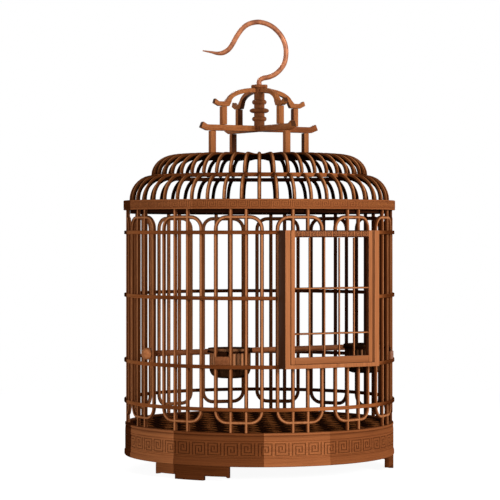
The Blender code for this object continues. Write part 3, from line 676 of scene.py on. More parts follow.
    def outward(self, tree: Nodes) -> Socket:
        """Give how far a face is turned away from the heart of the cage.

        Args:
            tree: the material's tree.

        Returns:
            1 for a face that looks straight outwards, -1 for one that looks inwards.
        """
        spot = add_node(tree, "ShaderNodeTexCoord")
        heart = add_node(tree, "ShaderNodeVectorMath",
                         {0: spot.outputs["Object"], 1: (0, 0, self.heart_height)}, operation="SUBTRACT")
        reach = add_node(tree, "ShaderNodeVectorMath",
                         {0: heart.outputs[0], 1: (1, 1, 0) if self.level else (1, 1, 1)},
                         operation="MULTIPLY")
        out = add_node(tree, "ShaderNodeVectorMath", {0: reach.outputs[0]}, operation="NORMALIZE")
        return add_node(tree, "ShaderNodeVectorMath", {0: out.outputs[0], 1: spot.outputs["Normal"]},
                        operation="DOT_PRODUCT").outputs["Value"]

    def shaded_inside(self, tree: Nodes, colour: Socket) -> Socket:
        """Paint shade on the flanks and on the faces turned towards the middle of the cage, less on the lit
        side.

        Args:
            tree: the material's tree.
            colour: the colour so far.

        Returns:
            The darkened colour.
        """
        facing = self.outward(tree)
        place = add_node(tree, "ShaderNodeTexCoord").outputs["Object"]
        sideways = add_node(tree, "ShaderNodeMapRange",
                            {"Value": facing, "From Min": self.flank_from, "From Max": self.flank_to})
        inward = add_node(tree, "ShaderNodeMapRange",
                          {"Value": facing, "From Min": self.inner_from, "From Max": self.inner_to,
                           "To Min": 0.0, "To Max": self.inner_share}, interpolation_type="SMOOTHSTEP")
        leftward = add_node(tree, "ShaderNodeVectorMath", {0: place, 1: LIT_INSIDE_SIDE}, operation="DOT_PRODUCT")
        kept = add_node(tree, "ShaderNodeMapRange",
                        {"Value": leftward.outputs["Value"], "From Min": LIT_INSIDE_START, "From Max": LIT_INSIDE_FULL,
                         "To Min": 1.0, "To Max": 1.0 - self.shade_lifted})
        share = add_node(tree, "ShaderNodeMath", {0: inward.outputs["Result"], 1: kept.outputs["Result"]},
                         operation="MULTIPLY")
        gone = add_node(tree, "ShaderNodeMath", {0: inward.outputs["Result"], 1: share.outputs[0]},
                        operation="SUBTRACT")
        flank = add_node(tree, "ShaderNodeMath", {0: sideways.outputs["Result"], 1: gone.outputs[0]},
                         operation="SUBTRACT", use_clamp=True)
        toned = add_node(tree, "ShaderNodeMix",
                         {"Factor": flank.outputs[0], "A": colour, "B": linear(self.flank_shade)},
                         data_type="RGBA", blend_type="MULTIPLY")
        return self.stain_and_shade(tree, share.outputs[0], toned.outputs["Result"])


@dataclass(frozen=True)
class RoundShadedLacquer(Lacquer):
    """Lacquered wood with painted light and shade that changes round a ring, and a dark carving ground.

    The eye sees a step of painted light and shade at each set angle, or a slow change round a hoop,
    and dark lines in the cut fret's ground.
    """

    # Painted light and shade: the angle from the door at which each tone starts, and the tone that multiplies
    # the colour
    shading_steps: tuple[tuple[float, str], ...] = ()
    cut_radius: float = 0.0
    # Whether the painted light and shade steps at each angle or changes slowly between them
    joints: bool = True

    def marked(self, tree: Nodes, colour: Socket) -> Socket:
        """Paint light and shade by the angle round the ring, and darken what lies deeper than the cut radius.

        Args:
            tree: the material's tree.
            colour: the colour so far.

        Returns:
            The tinted colour.
        """
        apart = add_node(tree, "ShaderNodeSeparateXYZ",
                         {"Vector": add_node(tree, "ShaderNodeTexCoord").outputs["Object"]})
        back = add_node(tree, "ShaderNodeMath", {0: apart.outputs["Y"], 1: -1.0}, operation="MULTIPLY")
        turn = add_node(tree, "ShaderNodeMath", {0: apart.outputs["X"], 1: back.outputs[0]},
                        operation="ARCTAN2")
        whole = add_node(tree, "ShaderNodeMapRange",
                         {"Value": turn.outputs[0], "From Min": -math.pi, "From Max": math.pi})
        tones = add_node(tree, "ShaderNodeValToRGB", {"Fac": whole.outputs["Result"]})
        tones.color_ramp.interpolation = "CONSTANT" if self.joints else "EASE"
        marks = tones.color_ramp.elements
        while len(marks) < len(self.shading_steps):
            marks.new(1.0)
        # A mark that passes another takes its number, so every mark is in place before it gets its tone
        for mark, (angle, _) in zip(marks, self.shading_steps):
            mark.position = (angle + 180) / 360
        for mark, (_, tone) in zip(marks, self.shading_steps):
            mark.color = linear(tone)
        tinted = add_node(tree, "ShaderNodeMix", {"Factor": 1.0, "A": colour, "B": tones.outputs["Color"]},
                          data_type="RGBA", blend_type="MULTIPLY")
        flat = add_node(tree, "ShaderNodeCombineXYZ", {"X": apart.outputs["X"], "Y": apart.outputs["Y"]})
        out = add_node(tree, "ShaderNodeVectorMath", {0: flat.outputs[0]}, operation="LENGTH")
        deep = add_node(tree, "ShaderNodeMapRange",
                        {"Value": out.outputs["Value"], "From Min": self.cut_radius,
                         "From Max": self.cut_radius - 0.25 * MM, "To Max": 0.42})
        return self.stain_and_shade(tree, deep.outputs["Result"], tinted.outputs["Result"])


@dataclass(frozen=True)
class EndGrainLacquer(Lacquer):
    """Lacquered wood whose sawn ends are near-black: the end grain takes the stain darker, and the rest is
    painted shade.

    The eye sees the tips of beams and arms end in a near-black face.
    """

    end_radius: float = 0.0
    # How far a face is turned out where the dark end starts and is full
    end_from: float = 0.62
    end_to: float = 0.78
    end_share: float = 0.85

    def marked(self, tree: Nodes, colour: Socket) -> Socket:
        """Darken the faces that look outwards beyond the end radius.

        Args:
            tree: the material's tree.
            colour: the colour so far.

        Returns:
            The colour with its dark ends.
        """
        spot = add_node(tree, "ShaderNodeTexCoord")
        flat = add_node(tree, "ShaderNodeVectorMath", {0: spot.outputs["Object"], 1: (1, 1, 0)},
                        operation="MULTIPLY")
        far = add_node(tree, "ShaderNodeVectorMath", {0: flat.outputs[0]}, operation="LENGTH")
        out = add_node(tree, "ShaderNodeVectorMath", {0: flat.outputs[0]}, operation="NORMALIZE")
        facing = add_node(tree, "ShaderNodeVectorMath", {0: out.outputs[0], 1: spot.outputs["Normal"]},
                          operation="DOT_PRODUCT")
        end = add_node(tree, "ShaderNodeMapRange",
                       {"Value": facing.outputs["Value"], "From Min": self.end_from,
                        "From Max": self.end_to, "To Max": self.end_share})
        gate = add_node(tree, "ShaderNodeMapRange",
                        {"Value": far.outputs["Value"], "From Min": self.end_radius,
                         "From Max": self.end_radius + 0.6 * MM})
        mask = add_node(tree, "ShaderNodeMath", {0: end.outputs["Result"], 1: gate.outputs["Result"]},
                        operation="MULTIPLY")
        return self.stain_and_shade(tree, mask.outputs[0], colour)


@dataclass(frozen=True)
class CupLacquer(Lacquer):
    """Reeded wood, darker in its grooves, with painted shade that turns its foot black.

    The eye sees light reeds that stand out of dark grooves and fade into a near-black bottom.
    """

    reach: float = 0.0
    crest: float = 0.0
    groove: float = 0.0
    light_height: float = 0.0
    dark_height: float = 0.0
    rim_height: float = 0.0

    def marked(self, tree: Nodes, colour: Socket) -> Socket:
        """Darken the grooves by their distance from the cup's axis, and the foot and the rim by height; the
        foot's darkening is painted shade.

        Args:
            tree: the material's tree.
            colour: the colour so far.

        Returns:
            The darkened colour.
        """
        apart = add_node(tree, "ShaderNodeSeparateXYZ",
                         {"Vector": add_node(tree, "ShaderNodeTexCoord").outputs["Object"]})
        side = add_node(tree, "ShaderNodeMath", {0: apart.outputs["X"]}, operation="ABSOLUTE")
        offset = self.reach / math.sqrt(2)
        flat = add_node(tree, "ShaderNodeCombineXYZ", {"X": side.outputs[0], "Y": apart.outputs["Y"]})
        turned_out = add_node(tree, "ShaderNodeVectorMath", {0: flat.outputs[0], 1: (offset, -offset, 0)},
                              operation="DISTANCE")
        cut = add_node(tree, "ShaderNodeMapRange",
                       {"Value": turned_out.outputs["Value"], "From Min": self.crest,
                        "From Max": self.groove, "To Max": 0.9})
        foot = add_node(tree, "ShaderNodeMapRange",
                        {"Value": apart.outputs["Z"], "From Min": self.light_height,
                         "From Max": self.dark_height, "To Max": 0.92})
        rim = add_node(tree, "ShaderNodeMapRange",
                       {"Value": apart.outputs["Z"], "From Min": self.rim_height,
                        "From Max": self.rim_height + 0.2 * MM, "To Max": 0.62})
        body = add_node(tree, "ShaderNodeMath", {0: cut.outputs["Result"], 1: foot.outputs["Result"]},
                        operation="MAXIMUM")
        mask = add_node(tree, "ShaderNodeMath", {0: body.outputs[0], 1: rim.outputs["Result"]},
                        operation="MAXIMUM")
        return self.stain_and_shade(tree, mask.outputs[0], colour)


@dataclass(frozen=True)
class SeamedLacquer(Lacquer):
    """Lacquered wood with a painted shadow line where the leaf slides.

    The eye sees a thin dark line along each of the frame's lips.
    """

    seam: float = 0.0
    seam_half: float = 0.0009

    def marked(self, tree: Nodes, colour: Socket) -> Socket:
        """Paint a shadow along the seam, which lies equally far from the middle on both sides.

        Args:
            tree: the material's tree.
            colour: the colour so far.

        Returns:
            The colour with its dark seam.
        """
        apart = add_node(tree, "ShaderNodeSeparateXYZ",
                         {"Vector": add_node(tree, "ShaderNodeTexCoord").outputs["Object"]})
        side = add_node(tree, "ShaderNodeMath", {0: apart.outputs["X"]}, operation="ABSOLUTE")
        off = add_node(tree, "ShaderNodeMath", {0: side.outputs[0], 1: self.seam}, operation="SUBTRACT")
        away = add_node(tree, "ShaderNodeMath", {0: off.outputs[0]}, operation="ABSOLUTE")
        mask = add_node(tree, "ShaderNodeMapRange",
                        {"Value": away.outputs[0], "From Min": self.seam_half,
                         "From Max": self.seam_half / 2, "To Max": 0.9})
        return self.stain_and_shade(tree, mask.outputs["Result"], colour)


@dataclass(frozen=True)
class CarvedLacquer(Lacquer):
    """Lacquered wood with a flat carving, whose ground is darker.

    The eye sees the carving's face stand out of a darker ground.
    """

    ground: float = 0.0

    def marked(self, tree: Nodes, colour: Socket) -> Socket:
        """Darken what lies behind the carving's face.

        Args:
            tree: the material's tree.
            colour: the colour so far.

        Returns:
            The colour with its dark ground.
        """
        apart = add_node(tree, "ShaderNodeSeparateXYZ",
                         {"Vector": add_node(tree, "ShaderNodeTexCoord").outputs["Object"]})
        mask = add_node(tree, "ShaderNodeMapRange",
                        {"Value": apart.outputs["Y"], "From Min": self.ground - 0.2 * MM,
                         "From Max": self.ground, "To Max": 0.95})
        return self.stain_and_shade(tree, mask.outputs["Result"], colour)


@dataclass(frozen=True)
class WovenSplint:
    """Dark smoked bamboo splint, woven over and under and left unpolished, with painted shade in its gaps.

    The eye sees near-black gaps with brown splints over them, each a little different from the next.
    """

    name: str
    pitch: float
    dark_height: float
    light_height: float
    light: str = "#9A5C30"
    dark: str = "#5A2E16"
    # The painted shade in the gaps under the splints
    gap_shade_colour: str = "#0C0503"
    # A fibre of the splint is about 0.5 mm wide, and is drawn at 1.2 mm so that it shows
    fibre_mm: float = 1.2

    def build(self) -> Finish:
        """Build the finish's material.

        Returns:
            The material.
        """
        material = bpy.data.materials.new(self.name)
        material.use_nodes = True
        tree = material.node_tree
        shader = tree.nodes["Principled BSDF"]
        place = add_node(tree, "ShaderNodeTexCoord").outputs["Object"]
        cell = 1 / self.pitch
        patches = add_node(tree, "ShaderNodeMapping", {"Vector": place, "Scale": (cell, cell, 0.0)})
        broad = add_node(tree, "ShaderNodeTexNoise",
                         {"Vector": patches.outputs[0], "Scale": 1.3, "Detail": 1.0, "Roughness": 0.4})
        fine = add_node(tree, "ShaderNodeTexNoise",
                        {"Vector": place, "Scale": 1 / (self.fibre_mm * MM), "Detail": 3.0, "Roughness": 0.6})
        both = add_node(tree, "ShaderNodeMix",
                        {"Factor": 0.4, "A": broad.outputs["Fac"], "B": fine.outputs["Fac"]},
                        data_type="FLOAT")
        ramp = add_node(tree, "ShaderNodeValToRGB", {"Fac": both.outputs[0]})
        for mark, (value, tone) in zip(ramp.color_ramp.elements, ((0.38, self.dark), (0.60, self.light))):
            mark.position = value
            mark.color = linear(tone)
        level = add_node(tree, "ShaderNodeSeparateXYZ", {"Vector": place})
        lowered = add_node(tree, "ShaderNodeMapRange",
                           {"Value": level.outputs["Z"], "From Min": self.dark_height,
                            "From Max": self.light_height, "To Min": 1.0, "To Max": 0.0})
        shaded_weave = add_node(tree, "ShaderNodeMix",
                         {"Factor": lowered.outputs["Result"], "A": ramp.outputs["Color"],
                          "B": linear(self.gap_shade_colour)}, data_type="RGBA")
        tree.links.new(shaded_weave.outputs["Result"], shader.inputs["Base Color"])
        shader.inputs["Roughness"].default_value = 0.6
        shader.inputs["Specular IOR Level"].default_value = 0.0
        bump = add_node(tree, "ShaderNodeBump",
                        {"Height": fine.outputs["Fac"], "Strength": 0.3, "Distance": 0.3 * MM})
        tree.links.new(bump.outputs["Normal"], shader.inputs["Normal"])
        return material


@dataclass(frozen=True)
class BrownedWire:
    """Copper-coloured wire, bent cold and browned by handling.

    The eye sees a soft metal gloss with darker brown patches.
    """

    name: str
    light: str = "#C87C50"
    dark: str = "#86492A"
    patch_mm: float = 9.0

    def build(self) -> Finish:
        """Build the finish's material.

        Returns:
            The material.
        """
        material = bpy.data.materials.new(self.name)
        material.use_nodes = True
        tree = material.node_tree
        shader = tree.nodes["Principled BSDF"]
        place = add_node(tree, "ShaderNodeTexCoord").outputs["Object"]
        patches = add_node(tree, "ShaderNodeTexNoise",
                           {"Vector": place, "Scale": 1 / (self.patch_mm * MM), "Detail": 4.0,
                            "Roughness": 0.6})
        ramp = add_node(tree, "ShaderNodeValToRGB", {"Fac": patches.outputs["Fac"]})
        for mark, (value, tone) in zip(ramp.color_ramp.elements, ((0.35, self.dark), (0.65, self.light))):
            mark.position = value
            mark.color = linear(tone)
        tree.links.new(ramp.outputs["Color"], shader.inputs["Base Color"])
        shader.inputs["Metallic"].default_value = 0.35
        gloss = add_node(tree, "ShaderNodeMapRange",
                         {"Value": patches.outputs["Fac"], "To Min": 0.5, "To Max": 0.3})
        tree.links.new(gloss.outputs["Result"], shader.inputs["Roughness"])
        return material


# Painted light and shade round a ring, or round a hoop, by the angle from the door at which each tone starts
RING_SHADING = (
    (-180, "#D8D4D0"), (-124, "#7E6E62"), (-100, "#FFFFFF"), (-68.6, "#B0A498"), (-28.5, "#FAF6F2"),
    (-1.2, "#D8CEC4"), (62, "#CCC2B8"), (118, "#E2DAD2"),
)
BAND_SHADING = (
    (-180, "#D8D4D0"), (-124, "#8A7A6E"), (-99, "#F2ECE8"), (-58, "#DCD2CA"), (-26, "#E6DCD6"),
    (20, "#ECE4DC"), (62, "#D0C6BC"), (118, "#E2DAD2"),
)
HOOP_SHADING = (
    (-180, "#B0A296"), (-108, "#4A3A30"), (-103, "#FFFFFF"), (-88, "#F4E8DC"), (-66, "#A8988A"),
    (-26, "#B8A89A"), (-4, "#FFF4E8"), (24, "#F0E4D8"), (38, "#8A7868"), (70, "#5E4E42"),
)
# Drawn bamboo bars: light faces between flanks of painted shade, and near-black painted shade where the
# inside is seen
UPRIGHT = Lacquer("bamboo_upright", Grain.UP, light="#D48C5C", dark="#A26238", flank_shade="#847060",
                  specular=0.0, inner_from=0.3, inner_to=-0.5, level=True, shade_lifted=0.88).build()
# Bamboo bent into hoops: red-brown, with painted light and shade that changes slowly round the cage
BENT = RoundShadedLacquer("bamboo_bent_round", Grain.ROUND, light="#C67C4A", dark="#884A26", specular=0.0,
                     level=True, shading_steps=HOOP_SHADING, joints=False, shade_lifted=0.8).build()
# Bamboo ribs: streaks that run up the dome, painted shade on the flanks, and a black underside of painted
# shade
SPREAD = Lacquer("bamboo_rib", Grain.OUT, light="#D8925F", dark="#A66438", flank_shade="#84705E",
                 specular=0.0, inner="#160A05", inner_share=0.97, inner_from=0.3, inner_to=-0.4).build()
# Planed hardwood posts: upright streaks, and painted shade on the face towards the cage's axis
POSTS = Lacquer("wood_post", Grain.UP, light="#BE7643", dark="#8E4E28", inner_from=-0.2, inner_to=-0.7,
                heart_height=0.42).build()
# Sawn hardwood beams and arms: streaks along them, painted shade underneath, and near-black ends of end grain
# and painted shade
BEAMS = EndGrainLacquer("wood_beam", Grain.OUT, light="#BE7643", dark="#8E4E28", inner="#2A140A",
                        inner_from=-0.1, inner_to=-0.6, heart_height=0.39, end_radius=0.0605).build()
# The same finish with painted shade: the eye sees one beam deeper brown than the others
SHADED_BEAM = EndGrainLacquer("wood_beam_shaded", Grain.OUT, light="#A05A30", dark="#6E3818", inner="#2A140A",
                            inner_from=-0.1, inner_to=-0.6, heart_height=0.39, end_radius=0.0605).build()
# Grooved hardwood stiles: an even light brown face, and painted shade on the grooves and flanks
STILES = Lacquer("wood_stile", Grain.UP, light="#C27848", dark="#A05E36", inner="#2A140A",
                 inner_from=0.85, inner_to=0.5, level=True).build()
# The leaf's lower rail: the same wood, with its grain across
RAILS = Lacquer("wood_rail", Grain.ACROSS, light="#AE6A3E", dark="#8C502D", inner="#2A140A",
                inner_from=0.85, inner_to=0.5, level=True).build()
# Bracket feet: the base ring's wood in darker tones, with its painted light and shade round the ring
FOOT = RoundShadedLacquer("wood_foot", Grain.ROUND, light="#9C5C34", dark="#744022", inner_share=0.6,
                     specular=0.0, shading_steps=RING_SHADING, cut_radius=0.0, heart_height=0.01).build()


# Dressing the pieces


def dress(thing: Piece, material: Finish, slot: Slot, body: str,
          *nodes: str) -> Piece:
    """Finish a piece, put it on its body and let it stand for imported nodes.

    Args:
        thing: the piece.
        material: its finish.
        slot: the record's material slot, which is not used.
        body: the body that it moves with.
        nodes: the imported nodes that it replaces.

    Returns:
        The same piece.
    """
    thing.data.materials.clear()
    thing.data.materials.append(material)
    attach(thing, body)
    if nodes:
        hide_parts(*nodes)
    log.info("%s: %d faces on %s", thing.name, len(thing.data.polygons), body)
    return thing


@dataclass
class Fret:
    """A row of carved square spirals, made as the raised wood left between the cuts.

    The wood is as wide as the line along the row and the rise up it, and the cuts as the two spaces.
    """

    pitch: float
    line: float
    space: float
    rise: float
    space_up: float
    depth: float

    SPIRAL = ((0, 0), (0, 8), (8, 8), (8, 0), (2, 0), (2, 6), (6, 6), (6, 2), (4, 2), (4, 4))
    CELLS = 9

    def height(self) -> float:
        """Give the height of the carved row."""
        return 5 * self.rise + 4 * self.space_up

    def cuts(self) -> set[tuple[int, int]]:
        """Give the cells of one spiral that are cut away.

        Returns:
            Each cut cell's column and row.
        """
        cells = set()
        for start, stop in zip(self.SPIRAL, self.SPIRAL[1:]):
            length = max(abs(stop[0] - start[0]), abs(stop[1] - start[1]))
            for step in range(length + 1):
                share = step / length
                cells.add((round(start[0] + (stop[0] - start[0]) * share),
                           round(start[1] + (stop[1] - start[1]) * share)))
        return cells

    def edges(self, line: float, space: float) -> list[float]:
        """Give the places of the cells' edges along one side of a spiral.

        Args:
            line: the width of the even cells, which are wood.
            space: the width of the odd cells.

        Returns:
            Ten places, the first of them 0.
        """
        places = [0.0]
        for cell in range(self.CELLS):
            places.append(places[-1] + (line if cell % 2 == 0 else space))
        return places

    def pair(self, name: str, place: Place) -> Piece:
        """Make the raised wood of two spirals, the second one turned half round.

        Args:
            name: the piece's name.
            place: gives the point for a distance along, a height and a height over the ground.

        Returns:
            The pair, two pitches long from 0.
        """
        across = self.edges(self.line, self.space)
        up = self.edges(self.rise, self.space_up)
        margin = (self.pitch - across[-1]) / 2
        cuts = self.cuts()
        work = bmesh.new()
        columns: list[float] = []
        cut_cells = set()
        for unit in range(2):
            start = unit * self.pitch + margin
            base = len(columns)
            columns += [start + value for value in across]
            for column, row in cuts:
                if unit:
                    column, row = self.CELLS - 1 - column, self.CELLS - 1 - row
                cut_cells.add((base + column, row))
        columns = [0.0] + columns + [2 * self.pitch]
        cut_cells = {(column + 1, row) for column, row in cut_cells}
        grid = [[work.verts.new((x, z, 0)) for z in up] for x in columns]
        for column in range(len(columns) - 1):
            for row in range(self.CELLS):
                if (column, row) in cut_cells:
                    continue
                work.faces.new((grid[column][row], grid[column + 1][row],
                                grid[column + 1][row + 1], grid[column][row + 1]))
        loose = [vert for vert in work.verts if not vert.link_faces]
        bmesh.ops.delete(work, geom=loose, context="VERTS")
        grown = bmesh.ops.extrude_face_region(work, geom=work.faces[:], use_keep_orig=True)["geom"]
        lifted = [item for item in grown if isinstance(item, bmesh.types.BMVert)]
        bmesh.ops.translate(work, vec=(0, 0, self.depth), verts=lifted)
        for vert in work.verts:
            vert.co = place(vert.co.x, vert.co.y, vert.co.z)
        bmesh.ops.recalc_face_normals(work, faces=work.faces)
        return mesh_object(name, work, 20)


@dataclass
class Base:
    """The base ring with its carved fret, the lines round it and the ledge inside it."""

    radius: float = 0.1630
    inner: float = 0.1540
    bottom: float = 0.0170
    top: float = 0.0555
    fret_low: float = 0.0298
    ledge_inner: float = 0.1470
    ledge_low: float = 0.0448
    ledge_top: float = 0.0508
    foot_bead: float = 0.0009
    foot_bead_top: float = 0.0230
    rim_low: float = 0.0532
    cut: float = 0.0007
    pairs: int = 26
    fret_sizes: tuple[float, float, float, float] = (0.00145, 0.00240, 0.00120, 0.00210)
    # How far the raised wood reaches into its ground, and how far under its face the darkening starts
    sunk: float = 0.0002
    line: float = 0.0005
    edge: float = 0.0004
    lines_under: Pair = (0.0014, 0.0030)
    line_over: float = 0.0022

    def section(self, fret_top: float) -> list[Pair]:
        """Give the ring's section: the rim's step, the lines, the fret's ground, the foot bead, the ledge.

        Args:
            fret_top: the height of the fret's upper edge.

        Returns:
            (radius, height) points.
        """
        ground = self.radius - self.cut
        line, edge = self.line, self.edge
        lines = tuple(self.fret_low - under for under in self.lines_under) + (fret_top + self.line_over,)
        outer = [(self.radius - edge, self.top), (self.radius, self.top - line),
                 (self.radius, self.rim_low), (self.radius - 2 * line, self.rim_low - line),
                 (self.radius - 2 * line, self.rim_low - 2 * line),
                 (self.radius - edge, self.rim_low - 3 * line)]
        for level in sorted(lines + (self.fret_low,), reverse=True):
            if level == self.fret_low:
                outer += [(self.radius, fret_top), (ground, fret_top), (ground, level), (self.radius, level)]
            else:
                outer += [(self.radius, level + line), (self.radius - line, level),
                          (self.radius, level - line)]
        bead = self.radius + self.foot_bead
        outer += [(self.radius, self.foot_bead_top + 0.0006), (bead - edge, self.foot_bead_top),
                  (bead, self.foot_bead_top - 0.0010), (bead, self.bottom + 0.0008),
                  (bead - 0.0006, self.bottom)]
        inner = [(self.inner, self.bottom), (self.inner, self.ledge_low), (self.ledge_inner, self.ledge_low),
                 (self.ledge_inner, self.ledge_top), (self.inner, self.ledge_top),
                 (self.inner, self.top - edge), (self.inner + edge, self.top)]
        return outer + inner

    def build(self) -> None:
        """Build the ring and its fret."""
        fret = Fret(math.tau * self.radius / (2 * self.pairs), *self.fret_sizes, self.cut)
        # Painted light and shade steps round the ring, with painted shade inside, and the fret's ground is
        # darker
        finish = RoundShadedLacquer("wood_ring_shaded", Grain.ROUND, light="#C27848", dark="#9A5A36", inner_share=0.7,
                               specular=0.0, shading_steps=RING_SHADING, cut_radius=self.radius - self.sunk,
                               heart_height=0.036).build()
        ring = turned("base_ring_turned", self.section(self.fret_low + fret.height()), 224)
        dress(ring, finish, Slot.WOOD, "root", "base_ring")

        def bend(along: float, up: float, out: float) -> Vector:
            """Lay the flat carving round the ring."""
            angle = math.degrees((along - fret.pitch / 2) / self.radius)
            radius = self.radius - self.cut - self.sunk + out * (self.cut + self.sunk) / self.cut
            return round_place(angle, radius, self.fret_low + up)

        tile = fret.pair("base_ring_fret", bend)
        REPEAT.apply(tile, {"Count": self.pairs, "Turn": math.tau / self.pairs, "Material": finish})
        dress(tile, finish, Slot.WOOD, "root")


@dataclass
class Mat:
    """The woven bamboo mat: splints over and under each other, cut to a circle, with a bound edge."""

    radius: float = 0.1536
    low: float = 0.0512
    high: float = 0.0542
    pitch: float = 0.0140
    long_pitch: float = 0.0270
    cover: float = 0.80
    thickness: float = 0.0010
    steps: int = 6
    # How far under the mat's top the painted shade in the gaps starts and is full
    gap_shade_depths: Pair = (0.0002, 0.0012)

    def splint(self, work: Work, offset: float, number: int, crosswise: bool) -> None:
        """Weave one splint.

        Args:
            work: the mesh to add to.
            offset: the splint's distance from the middle.
            number: its number, which sets whether it starts over or under.
            crosswise: whether it runs along X and not along Y.
        """
        spacing, over = (self.long_pitch, self.pitch) if crosswise else (self.pitch, self.long_pitch)
        half = spacing * self.cover / 2
        reach = math.sqrt(max(self.radius ** 2 - (abs(offset) + half) ** 2, 0))
        if reach < over:
            return
        middle = (self.low + self.high) / 2
        swing = (self.high - self.low - self.thickness) / 2
        step = over / self.steps
        count = int(reach / step)
        phase = 0 if crosswise else 1
        rings = []
        for index in range(-count, count + 1):
            along = index * step
            wave = math.cos(math.pi * (along / over + number + phase))
            level = middle + swing * max(-1, min(1, 1.5 * wave))
            ring = []
            for side, lift in ((-half, -1), (half, -1), (half * 0.9, 1), (-half * 0.9, 1)):
                spot = (along, offset + side) if crosswise else (offset + side, along)
                ring.append(work.verts.new((*spot, level + lift * self.thickness / 2)))
            rings.append(ring)
        for first, second in zip(rings, rings[1:]):
            for low in range(4):
                high = (low + 1) % 4
                work.faces.new((first[low], second[low], second[high], first[high]))
        work.faces.new(rings[0])
        work.faces.new(rings[-1][::-1])

    def build(self) -> None:
        """Build the mat and its edge."""
        shade_start_height, black = self.high - self.gap_shade_depths[0], self.high - self.gap_shade_depths[1]
        finish = WovenSplint("bamboo_woven", self.pitch, black, shade_start_height).build()
        # The weavers, the edge and the sheet under the weave take a near-black copy of the finish: painted
        # shade
        shaded_weave = WovenSplint("bamboo_woven_sooty", self.pitch, black, shade_start_height,
                            light="#3A1E0F", dark="#1A0B05").build()
        for label, spacing, crosswise, tone, nodes in (
                ("splints", self.pitch, False, finish, ("woven_floor",)),
                ("weavers", self.long_pitch, True, shaded_weave, ())):
            work = bmesh.new()
            rows = int(self.radius / spacing)
            for number in range(-rows, rows + 1):
                self.splint(work, number * spacing, number, crosswise)
            bmesh.ops.recalc_face_normals(work, faces=work.faces)
            dress(mesh_object(f"woven_floor_{label}", work), tone, Slot.FLOOR, "root", *nodes)
        rim = rounded([(self.radius - 0.004, self.low), (self.radius, self.low),
                       (self.radius, self.high), (self.radius - 0.004, self.high)], 0.0008)
        dress(turned("woven_floor_edge", rim[::-1], 112), shaded_weave, Slot.FLOOR, "root")
        # A near-black sheet under the weave, which shows through its gaps as painted shade
        sheet = [(0.0, self.low + 0.0013), (self.radius - 0.002, self.low + 0.0013),
                 (self.radius - 0.002, self.low + 0.0010), (0.0, self.low + 0.0010)]
        shade_sheet = turned("woven_floor_backing", sheet, 112)
        dress(shade_sheet, shaded_weave, Slot.FLOOR, "root")


@dataclass
class Feet:
    """Three bracket feet, each a bent board with a deeper tab and two spurs."""

    outer: float = 0.1630
    thickness: float = 0.0058
    top: float = 0.0167
    wing: float = 0.0055
    spur: float = 0.0041
    half: float = 17.8
    tab_half: float = 6.8
    spur_width: float = 1.4
    sole: float = 0.0003

    def build(self) -> None:
        """Build the feet."""
        for name, angle in (("foot_left", -60), ("foot_right", 60), ("foot_back", 180)):
            middle = self.outer - self.thickness / 2
            share = math.radians(1) * middle
            low = [(-self.half, self.spur), (-self.half + self.spur_width * 0.6, self.spur),
                   (-self.half + self.spur_width, self.wing), (-self.tab_half, self.wing),
                   (-self.tab_half, self.sole)]
            outline = [(side * share, up) for side, up in low]
            outline += [(-side * share, up) for side, up in low[::-1]]
            outline += [(self.half * share, self.top), (-self.half * share, self.top)]
            cuts = [value * share for value in range(-int(self.half), int(self.half) + 1)]
            work = bmesh.new()

            def bend(along: float, up: float, deep: float, turn: float = angle) -> Vector:
                """Bend the board round the foot's circle."""
                return round_place(turn + along / share, middle + deep, up)

            board(work, outline, self.thickness, bend, cuts)
            foot = eased(mesh_object(f"{name}_board", work), 0.0003)
            dress(foot, FOOT, Slot.WOOD, "root", name)


